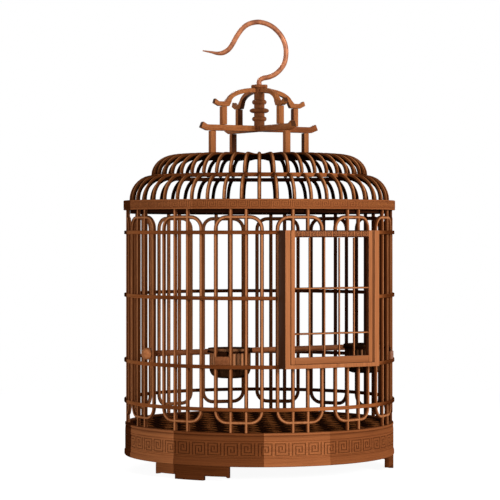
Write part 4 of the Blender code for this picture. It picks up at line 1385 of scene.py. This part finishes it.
@dataclass
class Wall:
    """The upright bars in their groups, and the hoops round them."""

    ring: float = 0.1597
    bar: float = 0.0023
    groups: int = 14
    foot: float = 0.0558
    head: float = 0.3202
    loop_top: float = 0.3026
    loop_bottom: float = 0.0671
    corner: float = 0.0135
    corner_steps: int = 7
    hoop_standoff: float = 0.0024
    hoop_thickness: float = 0.0021
    hoop_height: float = 0.0044
    lower_hoop: float = 0.1310
    upper_hoop: float = 0.2850
    door_half: float = 0.0638

    def loop_half(self, centre: float, first: float, last: float, level: float, inward: int) -> list[Vector]:
        """Give a loop's route over the top or under the bottom, from leg to leg.

        Args:
            centre: the loop's angle.
            first: the first leg's angle from the centre.
            last: the last leg's angle from the centre.
            level: the height of the route's straight stretch.
            inward: 1 where the legs rise from the level, -1 where they fall.

        Returns:
            The route's points.
        """
        sense = 1 if last > first else -1
        corner_turn = sense * math.degrees(self.corner / self.ring)
        sides = []
        for leg, toward in ((first, 1), (last, -1)):
            row = []
            for turn in steps_between(0, math.pi / 2, self.corner_steps):
                angle = leg + toward * corner_turn * (1 - math.cos(turn))
                height = level + inward * self.corner * (1 - math.sin(turn))
                row.append(round_place(centre + angle, self.ring, height))
            sides.append(row)
        inner = steps_between(first + corner_turn, last - corner_turn, 5)[1:-1]
        middle = [round_place(centre + angle, self.ring, level) for angle in inner]
        return sides[0] + middle + sides[1][::-1]

    def bar_route(self, angle: float, low: float, high: float) -> Route:
        """Give a straight bar's route between two heights."""
        return Route([round_place(angle, self.ring, height) for height in (low, high)])

    def build(self) -> None:
        """Build the bars and the hoops."""
        pitch = 360 / self.groups / 4
        leg, straight = 1.5 * pitch, 0.5 * pitch
        stop_low = self.lower_hoop + self.hoop_height / 2
        stop_high = self.upper_hoop - self.hoop_height / 2
        for number in range(self.groups):
            name = f"lattice_{number + 1:02d}"
            centre = 360 / self.groups * (number + 0.5)
            side = {0: 1, self.groups - 1: -1}.get(number, 0)
            sense = side or 1
            over = self.loop_half(centre, -sense * leg, sense * leg, self.loop_top, -1)
            under = self.loop_half(centre, -sense * leg, sense * leg, self.loop_bottom, 1)
            if side:
                near = centre - side * leg
                route = [round_place(near, self.ring, stop_high)] + over + under[::-1]
                routes = [Route(route + [round_place(near, self.ring, stop_low)])]
                for offset in (-straight, straight):
                    routes.append(self.bar_route(centre + offset, stop_high, self.head))
                    routes.append(self.bar_route(centre + offset, self.foot, stop_low))
            else:
                routes = [Route(over + under[::-1], closed=True)]
                routes += [self.bar_route(centre + offset, self.foot, self.head)
                           for offset in (-straight, straight)]
            dress(splints(f"{name}_bars", routes, self.bar, UPRIGHT), UPRIGHT, Slot.BAMBOO, "root", name)
        for name in ("base_hoop", "lower_hoop", "middle_hoop", "upper_hoop"):
            self.hoop(name)

    def hoop(self, name: str) -> None:
        """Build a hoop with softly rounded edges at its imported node's place.

        Args:
            name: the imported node.
        """
        low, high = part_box(name)
        inner = self.ring + self.hoop_standoff
        outer = inner + self.hoop_thickness
        section = rounded([(inner, low[2]), (inner, high[2]), (outer, high[2]), (outer, low[2])], 0.0009, 3)
        work = bmesh.new()
        if name == "middle_hoop":
            stop = math.degrees(math.asin(self.door_half / inner))
            revolved(work, section, steps_between(stop, 360 - stop, 140), round_place, full=False)
        else:
            revolved(work, section, steps_between(0, 360, 160)[:-1], round_place)
        closed_up(work)
        dress(mesh_object(f"{name}_splint", work), BENT, Slot.BAMBOO, "root", name)


@dataclass
class Dome:
    """The band with its carving, the ribs of both tiers, the shoulder hoop and the hub."""

    band_radius: float = 0.1650
    band_inner: float = 0.1621
    band_low: float = 0.3120
    band_top: float = 0.3235
    flange_inner: float = 0.1520
    flange_low: float = 0.3205
    lining: float = 0.1569
    lining_low: float = 0.3078
    lining_thickness: float = 0.0014
    fret_low: float = 0.3146
    cut: float = 0.0005
    pairs: int = 42
    ribs: int = 48
    rib: float = 0.0023
    rib_foot: float = 0.1559
    upper_foot: float = 0.1292
    flat_radius: float = 0.1000
    hoop_inner: float = 0.1264
    hoop_outer: float = 0.1320
    hoop_height: float = 0.0048
    hub: float = 0.0340
    hub_half: float = 0.0026
    arc_steps: int = 9
    edge: float = 0.0004
    fret_sizes: tuple[float, float, float, float] = (0.0009, 0.0016, 0.0007, 0.0009)
    # How far the raised wood reaches into its ground, and how far under its face the darkening starts
    sunk: float = 0.0002

    def build(self) -> None:
        """Build the band and both tiers."""
        self.band()
        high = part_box("dome_lower_tier")[1][2]
        low = high - self.hoop_height
        lower = self.rib_route(self.rib_foot, self.upper_foot, self.band_top + GAP, (low + high) / 2)
        self.tier("dome_lower_tier", lower, [
            (self.hoop_inner, low), (self.hoop_inner, high), (self.hoop_outer, high), (self.hoop_outer, low)])
        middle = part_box("dome_upper_tier")[1][2] - self.hub_half
        upper = self.rib_route(self.upper_foot, self.flat_radius, high + GAP, middle)
        upper.append((self.hub - self.rib, middle))
        top, under = middle + self.hub_half, middle - self.hub_half
        self.tier("dome_upper_tier", upper, [(0.0, top), (self.hub, top), (self.hub, under), (0.0, under)])

    def rib_route(self, outer: float, inner: float, foot: float, crest: float) -> list[Pair]:
        """Give a rib's quarter round, its foot on the seat."""
        return arc((inner, foot), outer - inner, crest - foot, 0, 90, self.arc_steps)

    def tier(self, node: str, route: Sequence[Pair], section: Sequence[Pair]) -> None:
        """Build one tier: its ribs, and the hoop or hub that holds them.

        Args:
            node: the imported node.
            route: (radius, height) points of a rib.
            section: (radius, height) points of the hoop's or hub's section.
        """
        points = [round_place(0, radius, height) for radius, height in route]
        ribs = splints(f"{node}_ribs", [Route(points)], self.rib, SPREAD, 10)
        REPEAT.apply(ribs, {"Count": self.ribs, "Turn": math.tau / self.ribs, "Material": SPREAD})
        dress(ribs, SPREAD, Slot.BAMBOO, "root", node)
        ring = turned(f"{node}_ring", rounded(section, 0.0010, 3), 160)
        dress(ring, SPREAD if node == "dome_upper_tier" else BENT, Slot.BAMBOO, "root")

    def band_section(self, fret_top: float) -> list[Pair]:
        """Give the band's section: the fret's ground, a line under it, the lower bead and the flange.

        Args:
            fret_top: the height of the fret's upper edge.

        Returns:
            (radius, height) points.
        """
        outer, ground, edge = self.band_radius, self.band_radius - self.cut, self.edge
        return [
            (outer - self.cut, self.band_top), (outer, self.band_top - self.cut),
            (outer, fret_top), (ground, fret_top), (ground, self.fret_low),
            (outer, self.fret_low), (outer, self.fret_low - edge),
            (ground, self.fret_low - 2 * edge), (outer, self.fret_low - 3 * edge),
            (outer, self.band_low + self.cut), (outer - edge, self.band_low),
            (self.band_inner, self.band_low), (self.band_inner, self.flange_low),
            (self.flange_inner, self.flange_low), (self.flange_inner, self.band_top - edge),
            (self.flange_inner + edge, self.band_top),
        ]

    def band(self) -> None:
        """Build the band, its shallow fret and the lining under its flange, near-black with painted shade."""
        fret = Fret(math.tau * self.band_radius / (2 * self.pairs), *self.fret_sizes, self.cut)
        # Painted light and shade steps round the band, with painted shade inside, and the fret's ground is
        # darker
        finish = RoundShadedLacquer("wood_band", Grain.ROUND, light="#C47A48", dark="#9C5A36", inner_share=0.9,
                               specular=0.0, shading_steps=BAND_SHADING, cut_radius=self.band_radius - self.sunk,
                               heart_height=0.3175).build()
        band = turned("dome_band_turned", self.band_section(self.fret_low + fret.height()), 224)
        dress(band, finish, Slot.WOOD, "root", "dome_band")
        # The lining strip is coloured near-black: painted shade under the band
        behind = self.lining - self.lining_thickness
        lining = [(self.lining, self.flange_low), (self.lining, self.lining_low),
                  (behind, self.lining_low), (behind, self.flange_low)]
        shade = Lacquer("bamboo_lining", Grain.ROUND, light="#3A1C0E", dark="#1E0D06", inner="#160A05",
                        specular=0.0).build()
        dress(turned("dome_band_lining", lining, 160), shade, Slot.BAMBOO, "root")

        def bend(along: float, up: float, out: float) -> Vector:
            """Lay the flat carving round the band."""
            radius = self.band_radius - self.cut - self.sunk + out * (self.cut + self.sunk) / self.cut
            return round_place(math.degrees(along / self.band_radius), radius, self.fret_low + up)

        tile = fret.pair("dome_band_fret", bend)
        REPEAT.apply(tile, {"Count": self.pairs, "Turn": math.tau / self.pairs, "Material": finish})
        dress(tile, finish, Slot.WOOD, "root")


@dataclass
class Crown:
    """The two tiers of posts, the beams and swan-neck arms, the spindle and its collar."""

    start: float = 0.0067
    arm_width: float = 0.0060
    arm_depth: float = 0.0056
    arm_reach: float = 0.0640
    arm_rise: float = 0.0176
    arm_bend: float = 0.0400
    arm_tip: float = 0.0034
    seat: float = 0.4373
    post_radius: float = 0.0500
    post_side: float = 0.0070
    spindle_low: float = 0.4075
    spindle_top: float = 0.4605
    spindle: float = 0.0064
    # Each bead's height on the spindle, its radius and half its height
    beads: tuple[Point, ...] = ((0.0360, 0.0089, 0.0029), (0.0256, 0.0119, 0.0030), (0.0156, 0.0089, 0.0029))
    bore: float = 0.0035
    chamber: float = 0.0049
    chamber_low: float = 0.4411
    chamber_top: float = 0.4459
    lobe: float = 0.0042
    lobe_centre: float = 0.0060

    def build(self) -> None:
        """Build the crown."""
        for number, side in enumerate(SIDES):
            for node in (f"lower_post_{side}", f"upper_post_{side}"):
                dress(eased(copied(f"{node}_square", node), 0.0006), POSTS, Slot.WOOD, "root", node)
            node = f"crown_beam_{side}"
            finish = SHADED_BEAM if side == "right" else BEAMS
            dress(eased(copied(f"{node}_bar", node), 0.0007), finish, Slot.WOOD, "root", node)
            self.arm(side, 90 * number)
        self.turned_spindle()
        self.collar()

    def arm(self, side: str, angle: float) -> None:
        """Build a swan-neck arm that curls up at its end.

        Args:
            side: the side in its node's name.
            angle: the angle that it points to.
        """
        heel = self.post_radius - self.post_side
        tip = self.arm_reach - self.post_side
        top = self.seat + self.arm_depth
        outer = arc((self.start, top), self.arm_bend - self.start + self.arm_depth, self.arm_rise, 90, 14, 12)
        under = arc((self.start, top), self.arm_bend - self.start, self.arm_rise - self.arm_depth, 90, 0, 12)
        end = [(tip, top), (self.arm_reach - self.arm_depth / 3, top + self.arm_tip),
               (self.arm_reach, self.seat + self.arm_tip), (tip, self.seat)]
        outline = outer + [(heel + self.arm_depth, top)] + end + [(heel, self.seat)] + under[::-1]
        work = bmesh.new()

        def place(along: float, up: float, deep: float) -> Vector:
            """Stand the arm upright at its angle."""
            return round_place(angle, along, up) + round_place(angle + 90, deep, 0)

        board(work, outline, self.arm_width, place)
        node = f"crown_arm_{side}"
        bmesh.ops.recalc_face_normals(work, faces=work.faces)
        dress(eased(mesh_object(f"{node}_curl", work), 0.0006), BEAMS, Slot.WOOD, "root", node)

    def turned_spindle(self) -> None:
        """Build the spindle with its beads and disc, bored for the hook."""
        profile = [(self.spindle - 0.0004, self.spindle_top), (self.spindle, self.spindle_top - 0.0004)]
        for rise, radius, half in self.beads:
            profile += arc((self.spindle, self.spindle_low + rise), radius - self.spindle, half, 90, -90, 8)
        profile += [(self.spindle, self.spindle_low + 0.0004), (self.spindle - 0.0004, self.spindle_low),
                    (0.0, self.spindle_low), (0.0, self.chamber_low), (self.chamber, self.chamber_low),
                    (self.chamber, self.chamber_top), (self.bore, self.chamber_top),
                    (self.bore, self.spindle_top)]
        finish = Lacquer("wood_spindle", Grain.ROUND, light="#9A5C34", dark="#6E3C20",
                         inner_share=0.0).build()
        dress(turned("crown_spindle_turned", profile, 48), finish, Slot.WOOD, "root", "crown_spindle")

    def collar(self) -> None:
        """Build the four-lobed collar."""
        low, high = (corner[2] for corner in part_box("hook_collar"))
        section = [(self.bore, low), (self.bore, high), (self.spindle, high), (self.spindle, low)]
        finish = Lacquer("wood_collar", Grain.ROUND, light="#A8643A", dark="#7C4526", inner_share=0.0).build()
        collar = turned("hook_collar_lobed", rounded(section, 0.0008, 3), 96, swell=self.lobed)
        dress(collar, finish, Slot.WOOD, "root", "hook_collar")

    def lobed(self, angle: float, radius: float, height: float) -> float:
        """Push the collar's outer face out into four round lobes.

        Args:
            angle: the angle round the collar.
            radius: the radius of its round core there.
            height: the height, which changes nothing.

        Returns:
            The new radius.
        """
        core = self.spindle
        if radius < (core + self.bore) / 2:
            return radius
        turn = math.radians(angle % 90 - 45)
        spare = self.lobe ** 2 - (self.lobe_centre * math.sin(turn)) ** 2
        reach = self.lobe_centre * math.cos(turn) + math.sqrt(spare) if spare > 0 else core
        return max(reach, core) - (core - radius)


@dataclass
class Hook:
    """The bent wire hook with its headed stem."""

    radius: float = 0.0031
    tip: float = 0.0007
    head: float = 0.0045
    head_low: float = 0.4415
    head_high: float = 0.4455
    collar_top: float = 0.4647
    turn: float = 60
    taper_points: int = 3
    steps: int = 5

    ROUTE = (
        (0, 0.0006), (-0.0004, 0.0030), (0.0010, 0.0060), (0.0052, 0.0082), (0.0119, 0.0095),
        (0.0200, 0.0134), (0.0265, 0.0198), (0.0310, 0.0278), (0.0326, 0.0390), (0.0314, 0.0490),
        (0.0272, 0.0587), (0.0215, 0.0658), (0.0149, 0.0713), (0.0067, 0.0750), (-0.0026, 0.0764),
        (-0.0132, 0.0739), (-0.0210, 0.0680), (-0.0276, 0.0587), (-0.0323, 0.0502), (-0.0369, 0.0436),
        (-0.0435, 0.0392), (-0.0505, 0.0382), (-0.0580, 0.0396), (-0.0690, 0.0415),
    )

    def build(self) -> None:
        """Build the hook."""
        across = round_place(self.turn, 1, 0)
        rest = [across * side + Vector((0, 0, self.collar_top + up)) for side, up in self.ROUTE]
        stem = [Vector((0, 0, self.head_low + 0.001)), Vector((0, 0, self.collar_top - 0.004))]
        route = smooth_route(stem + rest, self.steps)
        tapered = self.taper_points * self.steps
        tapers = [1.0] * (len(route) - tapered) + steps_between(1, self.tip / self.radius, tapered)[1:]
        finish = BrownedWire("wire_browned").build()
        wire = splints("hook_wire", [Route(route, tapers=tapers)], self.radius, finish, 16)
        dress(wire, finish, Slot.HOOK, "hook", "hook")
        disc = rounded([(0.0, self.head_high), (self.head, self.head_high), (self.head, self.head_low),
                        (0.0, self.head_low)], 0.0006)
        dress(turned("hook_stem_head", disc, 32), finish, Slot.HOOK, "hook")


@dataclass
class Door:
    """The grooved frame, and the leaf with its bars and carved top rail."""

    front: float = 0.1679
    back: float = 0.1653
    half: float = 0.0600
    lip_half: float = 0.0569
    window_half: float = 0.0498
    low: float = 0.1345
    high: float = 0.2875
    window_low: float = 0.1425
    window_high: float = 0.2793
    bar: float = 0.0012
    bars: int = 4
    bar_pitch: float = 0.0200
    crosses: Pair = (0.1692, 0.2210)
    rebate_half: float = 0.0014
    # The joint between the leaf's stiles and rails
    joint: float = 0.00004
    # How far the painted shadow line lies inside the frame's lips
    seam_inset: float = 0.0013
    fret_units: int = 10
    fret_sizes: tuple[float, float, float, float, float] = (0.0009, 0.0010, 0.0007, 0.0007, 0.0005)
    # How far the carving's ground lies in front of the rail's face
    ground: float = 0.0001

    def plank(self, name: str, x: Pair, z: Pair, finish: Finish, *nodes: str) -> Piece:
        """Build one straight piece of the leaf with eased edges.

        Args:
            name: the piece's name.
            x: its left and right.
            z: its bottom and top.
            finish: its finish.
            nodes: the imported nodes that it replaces.

        Returns:
            The piece.
        """
        outline = [(x[0], z[0]), (x[1], z[0]), (x[1], z[1]), (x[0], z[1])]
        work = bmesh.new()
        middle = -(self.front + self.back) / 2
        board(work, outline, self.front - self.back,
              lambda along, up, deep: Vector((along, middle + deep, up)))
        bmesh.ops.recalc_face_normals(work, faces=work.faces)
        return dress(eased(mesh_object(name, work), 0.0004), finish, Slot.WOOD, "door", *nodes)

    def build(self) -> None:
        """Build the frame, the leaf and its bars."""
        frame_piece = eased(copied("door_frame_grooved", "door_frame"), 0.0005)
        dress(frame_piece, STILES, Slot.WOOD, "root", "door_frame")
        sliding = SeamedLacquer("wood_leaf_stile", Grain.UP, light="#C27848", dark="#A05E36", inner_from=0.85,
                                inner_to=0.5, level=True, seam=self.lip_half - self.seam_inset).build()
        carved = CarvedLacquer("wood_leaf_carved", Grain.ACROSS, light="#C87C4C", dark="#8A4E2A",
                               inner_from=0.85, inner_to=0.5, level=True,
                               ground=-self.front - self.ground).build()
        tall = (self.low, self.high)
        wide = (-self.window_half, self.window_half)
        self.plank("leaf_stile_left", (-self.half, -self.window_half - self.joint), tall, sliding,
                   "door_leaf")
        self.plank("leaf_stile_right", (self.window_half + self.joint, self.half), tall, sliding)
        self.plank("leaf_rail_bottom", wide, (self.low, self.window_low), RAILS)
        self.plank("leaf_rail_top", wide, (self.window_high, self.high), carved)
        self.carving(carved)
        self.rebate(carved)
        middle = -(self.front + self.back) / 2
        routes = []
        for number in range(self.bars):
            x = self.bar_pitch * (number - (self.bars - 1) / 2)
            routes.append(Route([Vector((x, middle, height)) for height in (self.window_low + GAP,
                                                                              self.window_high - GAP)]))
        for height in self.crosses:
            ends = (-self.window_half + GAP, self.window_half - GAP)
            routes.append(Route([Vector((x, middle, height)) for x in ends]))
        dress(splints("leaf_bars", routes, self.bar, UPRIGHT), UPRIGHT, Slot.BAMBOO, "door", "door_bars")

    def rebate(self, finish: Finish) -> None:
        """Build the strip in the frame's sill that the leaf's lower edge stands in front of.

        Args:
            finish: its finish.
        """
        outline = [(-self.half, self.low - self.rebate_half), (self.half, self.low - self.rebate_half),
                   (self.half, self.low + self.rebate_half), (-self.half, self.low + self.rebate_half)]
        work = bmesh.new()
        middle = -(self.back - GAP - self.rebate_half)
        board(work, outline, self.rebate_half, lambda along, up, deep: Vector((along, middle + deep, up)))
        bmesh.ops.recalc_face_normals(work, faces=work.faces)
        dress(eased(mesh_object("door_frame_rebate", work), 0.0002), finish, Slot.WOOD, "root")

    def carving(self, finish: Finish) -> None:
        """Carve a fine fret on the leaf's top rail.

        Args:
            finish: the rail's finish.
        """
        pitch = 2 * self.window_half / self.fret_units
        fret = Fret(pitch, *self.fret_sizes)
        low = (self.window_high + self.high - fret.height()) / 2

        def lay(along: float, up: float, out: float) -> Vector:
            """Lay the carving on the rail."""
            return Vector((along - self.window_half, -self.front + self.ground - out, low + up))

        tile = fret.pair("leaf_rail_fret", lay)
        REPEAT.apply(tile, {"Count": self.fret_units // 2, "Shift": (2 * pitch, 0.0, 0.0),
                            "Material": finish})
        dress(tile, finish, Slot.WOOD, "door")


@dataclass
class Perch:
    """The perch rod and its turned ball ends."""

    level: float = 0.1430
    radius: float = 0.0035

    def build(self) -> None:
        """Build the rod and the balls."""
        low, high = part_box("perch")
        y = (low[1] + high[1]) / 2
        balls = {}
        ball_finish = Lacquer("wood_turned", Grain.ROUND, light="#CE8452", dark="#96562E",
                              inner_share=0.5).build()
        for side in ("left", "right"):
            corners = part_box(f"perch_ball_{side}")
            balls[side] = [(corners[0][axis] + corners[1][axis]) / 2 for axis in range(3)]
            radius = (corners[1][2] - corners[0][2]) / 2
            profile = arc((0.0, 0.0), radius, radius, 90, -90, 20)
            profile = [(max(out, 0.0) if abs(out) > 1e-6 else 0.0, up) for out, up in profile]
            ball = turned(f"perch_ball_{side}_turned", profile, 36, Vector(balls[side]))
            dress(ball, ball_finish, Slot.WOOD, "root", f"perch_ball_{side}")
        reach = balls["right"][0] - radius - GAP
        ends = [Vector((x, y, self.level)) for x in (-reach, -reach + 0.001, 0, reach - 0.001, reach)]
        rod_finish = Lacquer("bamboo_perch", Grain.ACROSS, light="#A05F38", dark="#6E3C20",
                             inner_share=0.0).build()
        route = Route(ends, tapers=[0.8, 1.0, 0.97, 1.0, 0.8])
        rod = splints("perch_rod", [route], self.radius, rod_finish, 20)
        dress(rod, rod_finish, Slot.BAMBOO, "root", "perch")


@dataclass
class Cups:
    """The reeded feeding cups in their ring brackets."""

    reach: float = 0.1310
    radius: float = 0.0240
    rim: float = 0.0256
    wall: float = 0.0026
    top: float = 0.1513
    rim_low: float = 0.1483
    bottom: float = 0.1168
    corner: float = 0.0110
    ring_inner: float = 0.0243
    ring_outer: float = 0.0263
    ring_top: float = 0.1480
    ring_low: float = 0.1435
    hoop: float = 0.0018
    plate_inner: float = 0.1621
    plate_outer: float = 0.1647
    plate_low: float = 0.1335
    plate_top: float = 0.1430
    plate_half: float = 0.0086
    tongue_half: float = 0.0045
    reeds: int = 27
    reed_turn: float = 2.6
    reed_depth: float = 0.0012
    # How far under the brackets the cup's painted shade starts, and is black
    foot_shade: Pair = (0.0115, 0.0165)

    def build(self) -> None:
        """Build both cups and brackets."""
        # The cup's faces that are not turned out from the cage's middle, and its foot, get painted shade
        finish = CupLacquer("wood_cup", Grain.UP, light="#E8A070", dark="#B06C40", inner="#1A0B04",
                            inner_share=0.94, inner_from=0.80, inner_to=0.30, heart_height=0.135,
                            specular=0.0, reach=self.reach, crest=self.radius - 0.1 * MM,
                            groove=self.radius - self.reed_depth, light_height=self.ring_low - self.foot_shade[0],
                            dark_height=self.ring_low - self.foot_shade[1], rim_height=self.rim_low).build()
        plate = Lacquer("wood_plate", Grain.ACROSS, light="#A0603A", dark="#6A3A1E", inner_share=0.6).build()
        # The brackets' rings and tongues are near-black: painted shade
        dark = Lacquer("wood_bracket", Grain.ROUND, light="#3A1C0E", dark="#1C0C05", inner="#120804",
                       specular=0.0).build()
        for side, angle in (("left", -45), ("right", 45)):
            self.cup(side, angle, finish)
            self.bracket(side, angle, dark, plate)

    def cup(self, side: str, angle: float, finish: Finish) -> None:
        """Build a cup with reeds round its body.

        Args:
            side: the side in its node's name.
            angle: the cup's angle round the cage.
            finish: its finish.
        """
        piece = turned(f"feeding_cup_{side}_reeded", self.section(), self.reeds * 6,
                       round_place(angle, self.reach, 0), self.reeded)
        dress(piece, finish, Slot.CUP, f"cup_{side}", f"feeding_cup_{side}")

    def section(self) -> list[Pair]:
        """Give a cup's section, from its rim down the outside and up the inside.

        Returns:
            (radius, height) points.
        """
        body = steps_between(self.rim_low - 0.0016, self.bottom + self.corner, 8)
        outer = [(self.rim - 0.0005, self.top), (self.rim, self.top - 0.0006),
                 (self.rim, self.rim_low + 0.0005), (self.rim - 0.0005, self.rim_low),
                 (self.radius, self.rim_low)]
        outer += [(self.radius, height) for height in body]
        centre = (self.radius - self.corner, self.bottom + self.corner)
        outer += arc(centre, self.corner, self.corner, 0, -90, 7)[1:]
        outer.append((0.0, self.bottom))
        room = self.corner - self.wall
        inner = [(0.0, self.bottom + self.wall)]
        inner += arc(centre, room, room, -90, 0, 6)
        inner += [(self.radius - self.wall, self.top - 0.0006), (self.radius - self.wall + 0.0006, self.top)]
        return outer + inner

    def reeded(self, turn: float, radius: float, height: float) -> float:
        """Cut the grooves between the reeds into the cup's body.

        Args:
            turn: the angle round the cup.
            radius: the uncut radius there.
            height: the height, which is cut between the foot and the rim alone.

        Returns:
            The new radius.
        """
        low, high = self.bottom + self.corner * 0.35, self.rim_low - 0.0014
        if radius < self.radius * 0.92 or not low < height < high:
            return radius
        swing = math.sin(math.radians(turn - self.reed_turn) * self.reeds / 2)
        return radius - self.reed_depth * (1 - abs(swing))

    def bracket(self, side: str, angle: float, finish: Finish,
                plate: Finish) -> None:
        """Build a bracket: its ring, its tongue between two bars and its outside plate.

        Args:
            side: the side in its node's name.
            angle: the bracket's angle round the cage.
            finish: the finish of the ring and the tongue.
            plate: the finish of the plate.
        """
        node = f"cup_bracket_{side}"
        hoop_low = self.ring_top - self.hoop
        section = rounded([(self.ring_inner, hoop_low), (self.ring_inner, self.ring_top),
                           (self.ring_outer, self.ring_top), (self.ring_outer, hoop_low)], 0.0005)
        ring = turned(f"{node}_ring", section, 72, round_place(angle, self.reach, 0))
        dress(ring, finish, Slot.WOOD, "root", node)
        middle = self.ring_inner + (self.ring_outer - self.ring_inner) / 2
        for label, reach, half, heights in (
                ("tongue", (self.reach + middle, self.plate_inner + GAP), self.tongue_half,
                 (self.plate_top - 0.0045, self.ring_top)),
                ("plate", (self.plate_inner, self.plate_outer), self.plate_half,
                 (self.plate_low, self.plate_top))):
            work = bmesh.new()
            outline = [(-half, heights[0]), (half, heights[0]), (half, heights[1]), (-half, heights[1])]
            centre = (reach[0] + reach[1]) / 2

            def place(along: float, up: float, deep: float, out: float = centre) -> Vector:
                """Stand the board across the bracket's angle."""
                return round_place(angle, out + deep, up) + round_place(angle + 90, along, 0)

            board(work, outline, reach[1] - reach[0], place)
            bmesh.ops.recalc_face_normals(work, faces=work.faces)
            piece = eased(mesh_object(f"{node}_{label}", work), 0.0005)
            dress(piece, plate if label == "plate" else finish, Slot.WOOD, "root")


# The studio


@dataclass
class Studio:
    """The camera at the photograph's angle, the pale floor and the soft lights."""

    distance: float = 2.582
    azimuth: float = -30
    height: float = 0.285
    lens: float = 152.7
    sensor: float = 36
    shift_x: float = -0.0186
    shift_y: float = -0.0352
    ground: str = "#8C8C8C"
    shadow_share: float = 0.06
    ambient: float = 0.06
    # Each lamp's name, place, side and power in watts
    lamps: tuple[tuple[str, Point, float, float], ...] = (
        ("key", (0.45, -3.1, 1.10), 0.8, 69), ("front", (-2.6, -1.6, 0.7), 0.8, 17),
        ("side", (-3.0, 1.1, 1.2), 1.2, 11), ("right", (3.1, 0.2, 1.0), 1.2, 22),
        ("back", (0.9, 3.1, 1.3), 1.2, 44),
    )

    def build(self) -> None:
        """Build the camera, the floor and the lights."""
        self.camera()
        self.floor()
        self.world()
        for lamp in self.lamps:
            self.lamp(*lamp)
        bpy.context.scene.view_settings.view_transform = "Standard"

    def camera(self) -> None:
        """Place the camera."""
        data = bpy.data.cameras.new("camera")
        data.lens, data.sensor_width = self.lens, self.sensor
        data.shift_x, data.shift_y = self.shift_x, self.shift_y
        data.clip_start, data.clip_end = 0.05, 60
        camera = bpy.data.objects.new("camera", data)
        turn = math.radians(self.azimuth)
        camera.location = (self.distance * math.sin(turn), -self.distance * math.cos(turn), self.height)
        camera.rotation_euler = (math.radians(90), 0, turn)
        bpy.context.scene.collection.objects.link(camera)
        bpy.context.scene.camera = camera

    def floor(self) -> None:
        """Lay a white floor that keeps a soft shadow."""
        work = bmesh.new()
        bmesh.ops.create_grid(work, x_segments=1, y_segments=1, size=25)
        thing = mesh_object("floor", work)
        material = bpy.data.materials.new("floor_white")
        material.use_nodes = True
        tree = material.node_tree
        shader = tree.nodes["Principled BSDF"]
        shader.inputs["Roughness"].default_value = 0.9
        shader.inputs["Specular IOR Level"].default_value = 0.0
        seen = self.background_rays(tree)
        place = add_node(tree, "ShaderNodeTexCoord").outputs["Object"]
        away = add_node(tree, "ShaderNodeVectorMath", {0: place}, operation="LENGTH")
        near = add_node(tree, "ShaderNodeMapRange",
                        {"Value": away.outputs["Value"], "From Min": 1.3, "From Max": 0.3},
                        interpolation_type="SMOOTHSTEP")
        paint = add_node(tree, "ShaderNodeMix",
                         {"Factor": near.outputs["Result"], "A": linear("#000000"), "B": linear(self.ground)},
                         data_type="RGBA")
        shown = add_node(tree, "ShaderNodeMix",
                         {"Factor": seen, "A": linear("#E6E6E6"), "B": paint.outputs["Result"]},
                         data_type="RGBA")
        tree.links.new(shown.outputs["Result"], shader.inputs["Base Color"])
        level = add_node(tree, "ShaderNodeMapRange",
                         {"Value": near.outputs["Result"], "To Min": 1.0, "To Max": 1 - self.shadow_share})
        glow = add_node(tree, "ShaderNodeMath", {0: seen, 1: level.outputs["Result"]}, operation="MULTIPLY")
        shader.inputs["Emission Color"].default_value = linear("#FFFFFF")
        tree.links.new(glow.outputs[0], shader.inputs["Emission Strength"])
        thing.data.materials.append(material)

    def background_rays(self, tree: Nodes) -> Socket:
        """Tell the rays that show the background from the others.

        Args:
            tree: the tree to add to.

        Returns:
            1 for camera, glossy and transmission rays, 0 for the rest.
        """
        seen = add_node(tree, "ShaderNodeLightPath").outputs
        mirrored = add_node(tree, "ShaderNodeMath",
                            {0: seen["Is Glossy Ray"], 1: seen["Is Transmission Ray"]}, operation="MAXIMUM")
        return add_node(tree, "ShaderNodeMath", {0: seen["Is Camera Ray"], 1: mirrored.outputs[0]},
                        operation="MAXIMUM").outputs[0]

    def world(self) -> None:
        """Surround the object with white that lights it softly."""
        world = bpy.data.worlds.new("studio")
        bpy.context.scene.world = world
        world.use_nodes = True
        tree = world.node_tree
        tree.nodes.clear()
        soft = add_node(tree, "ShaderNodeBackground", {"Color": linear("#FFFFFF"), "Strength": self.ambient})
        bright = add_node(tree, "ShaderNodeBackground", {"Color": linear("#FFFFFF"), "Strength": 1.0})
        mixed = add_node(tree, "ShaderNodeMixShader",
                         {0: self.background_rays(tree), 1: soft.outputs[0], 2: bright.outputs[0]})
        add_node(tree, "ShaderNodeOutputWorld", {"Surface": mixed.outputs[0]})

    def lamp(self, name: str, spot: Point, size: float, power: float) -> None:
        """Hang a soft lamp that points at the cage.

        Args:
            name: the lamp's name.
            spot: its place.
            size: the side of its square.
            power: its power in watts.
        """
        data = bpy.data.lights.new(name, "AREA")
        data.size, data.energy = size, power
        thing = bpy.data.objects.new(name, data)
        thing.location = spot
        thing.rotation_euler = (Vector((0, 0, 0.27)) - Vector(spot)).to_track_quat("-Z", "Y").to_euler()
        bpy.context.scene.collection.objects.link(thing)


def main() -> None:
    """Build every sub-assembly."""
    logging.basicConfig(level=logging.INFO, format="%(name)s %(message)s")
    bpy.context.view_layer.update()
    Studio().build()
    for assembly in (Base(), Mat(), Feet(), Wall(), Dome(), Crown(), Hook(), Door(), Perch(), Cups()):
        log.info("building %s", type(assembly).__name__)
        assembly.build()


if __name__ == "__main__":
    main()
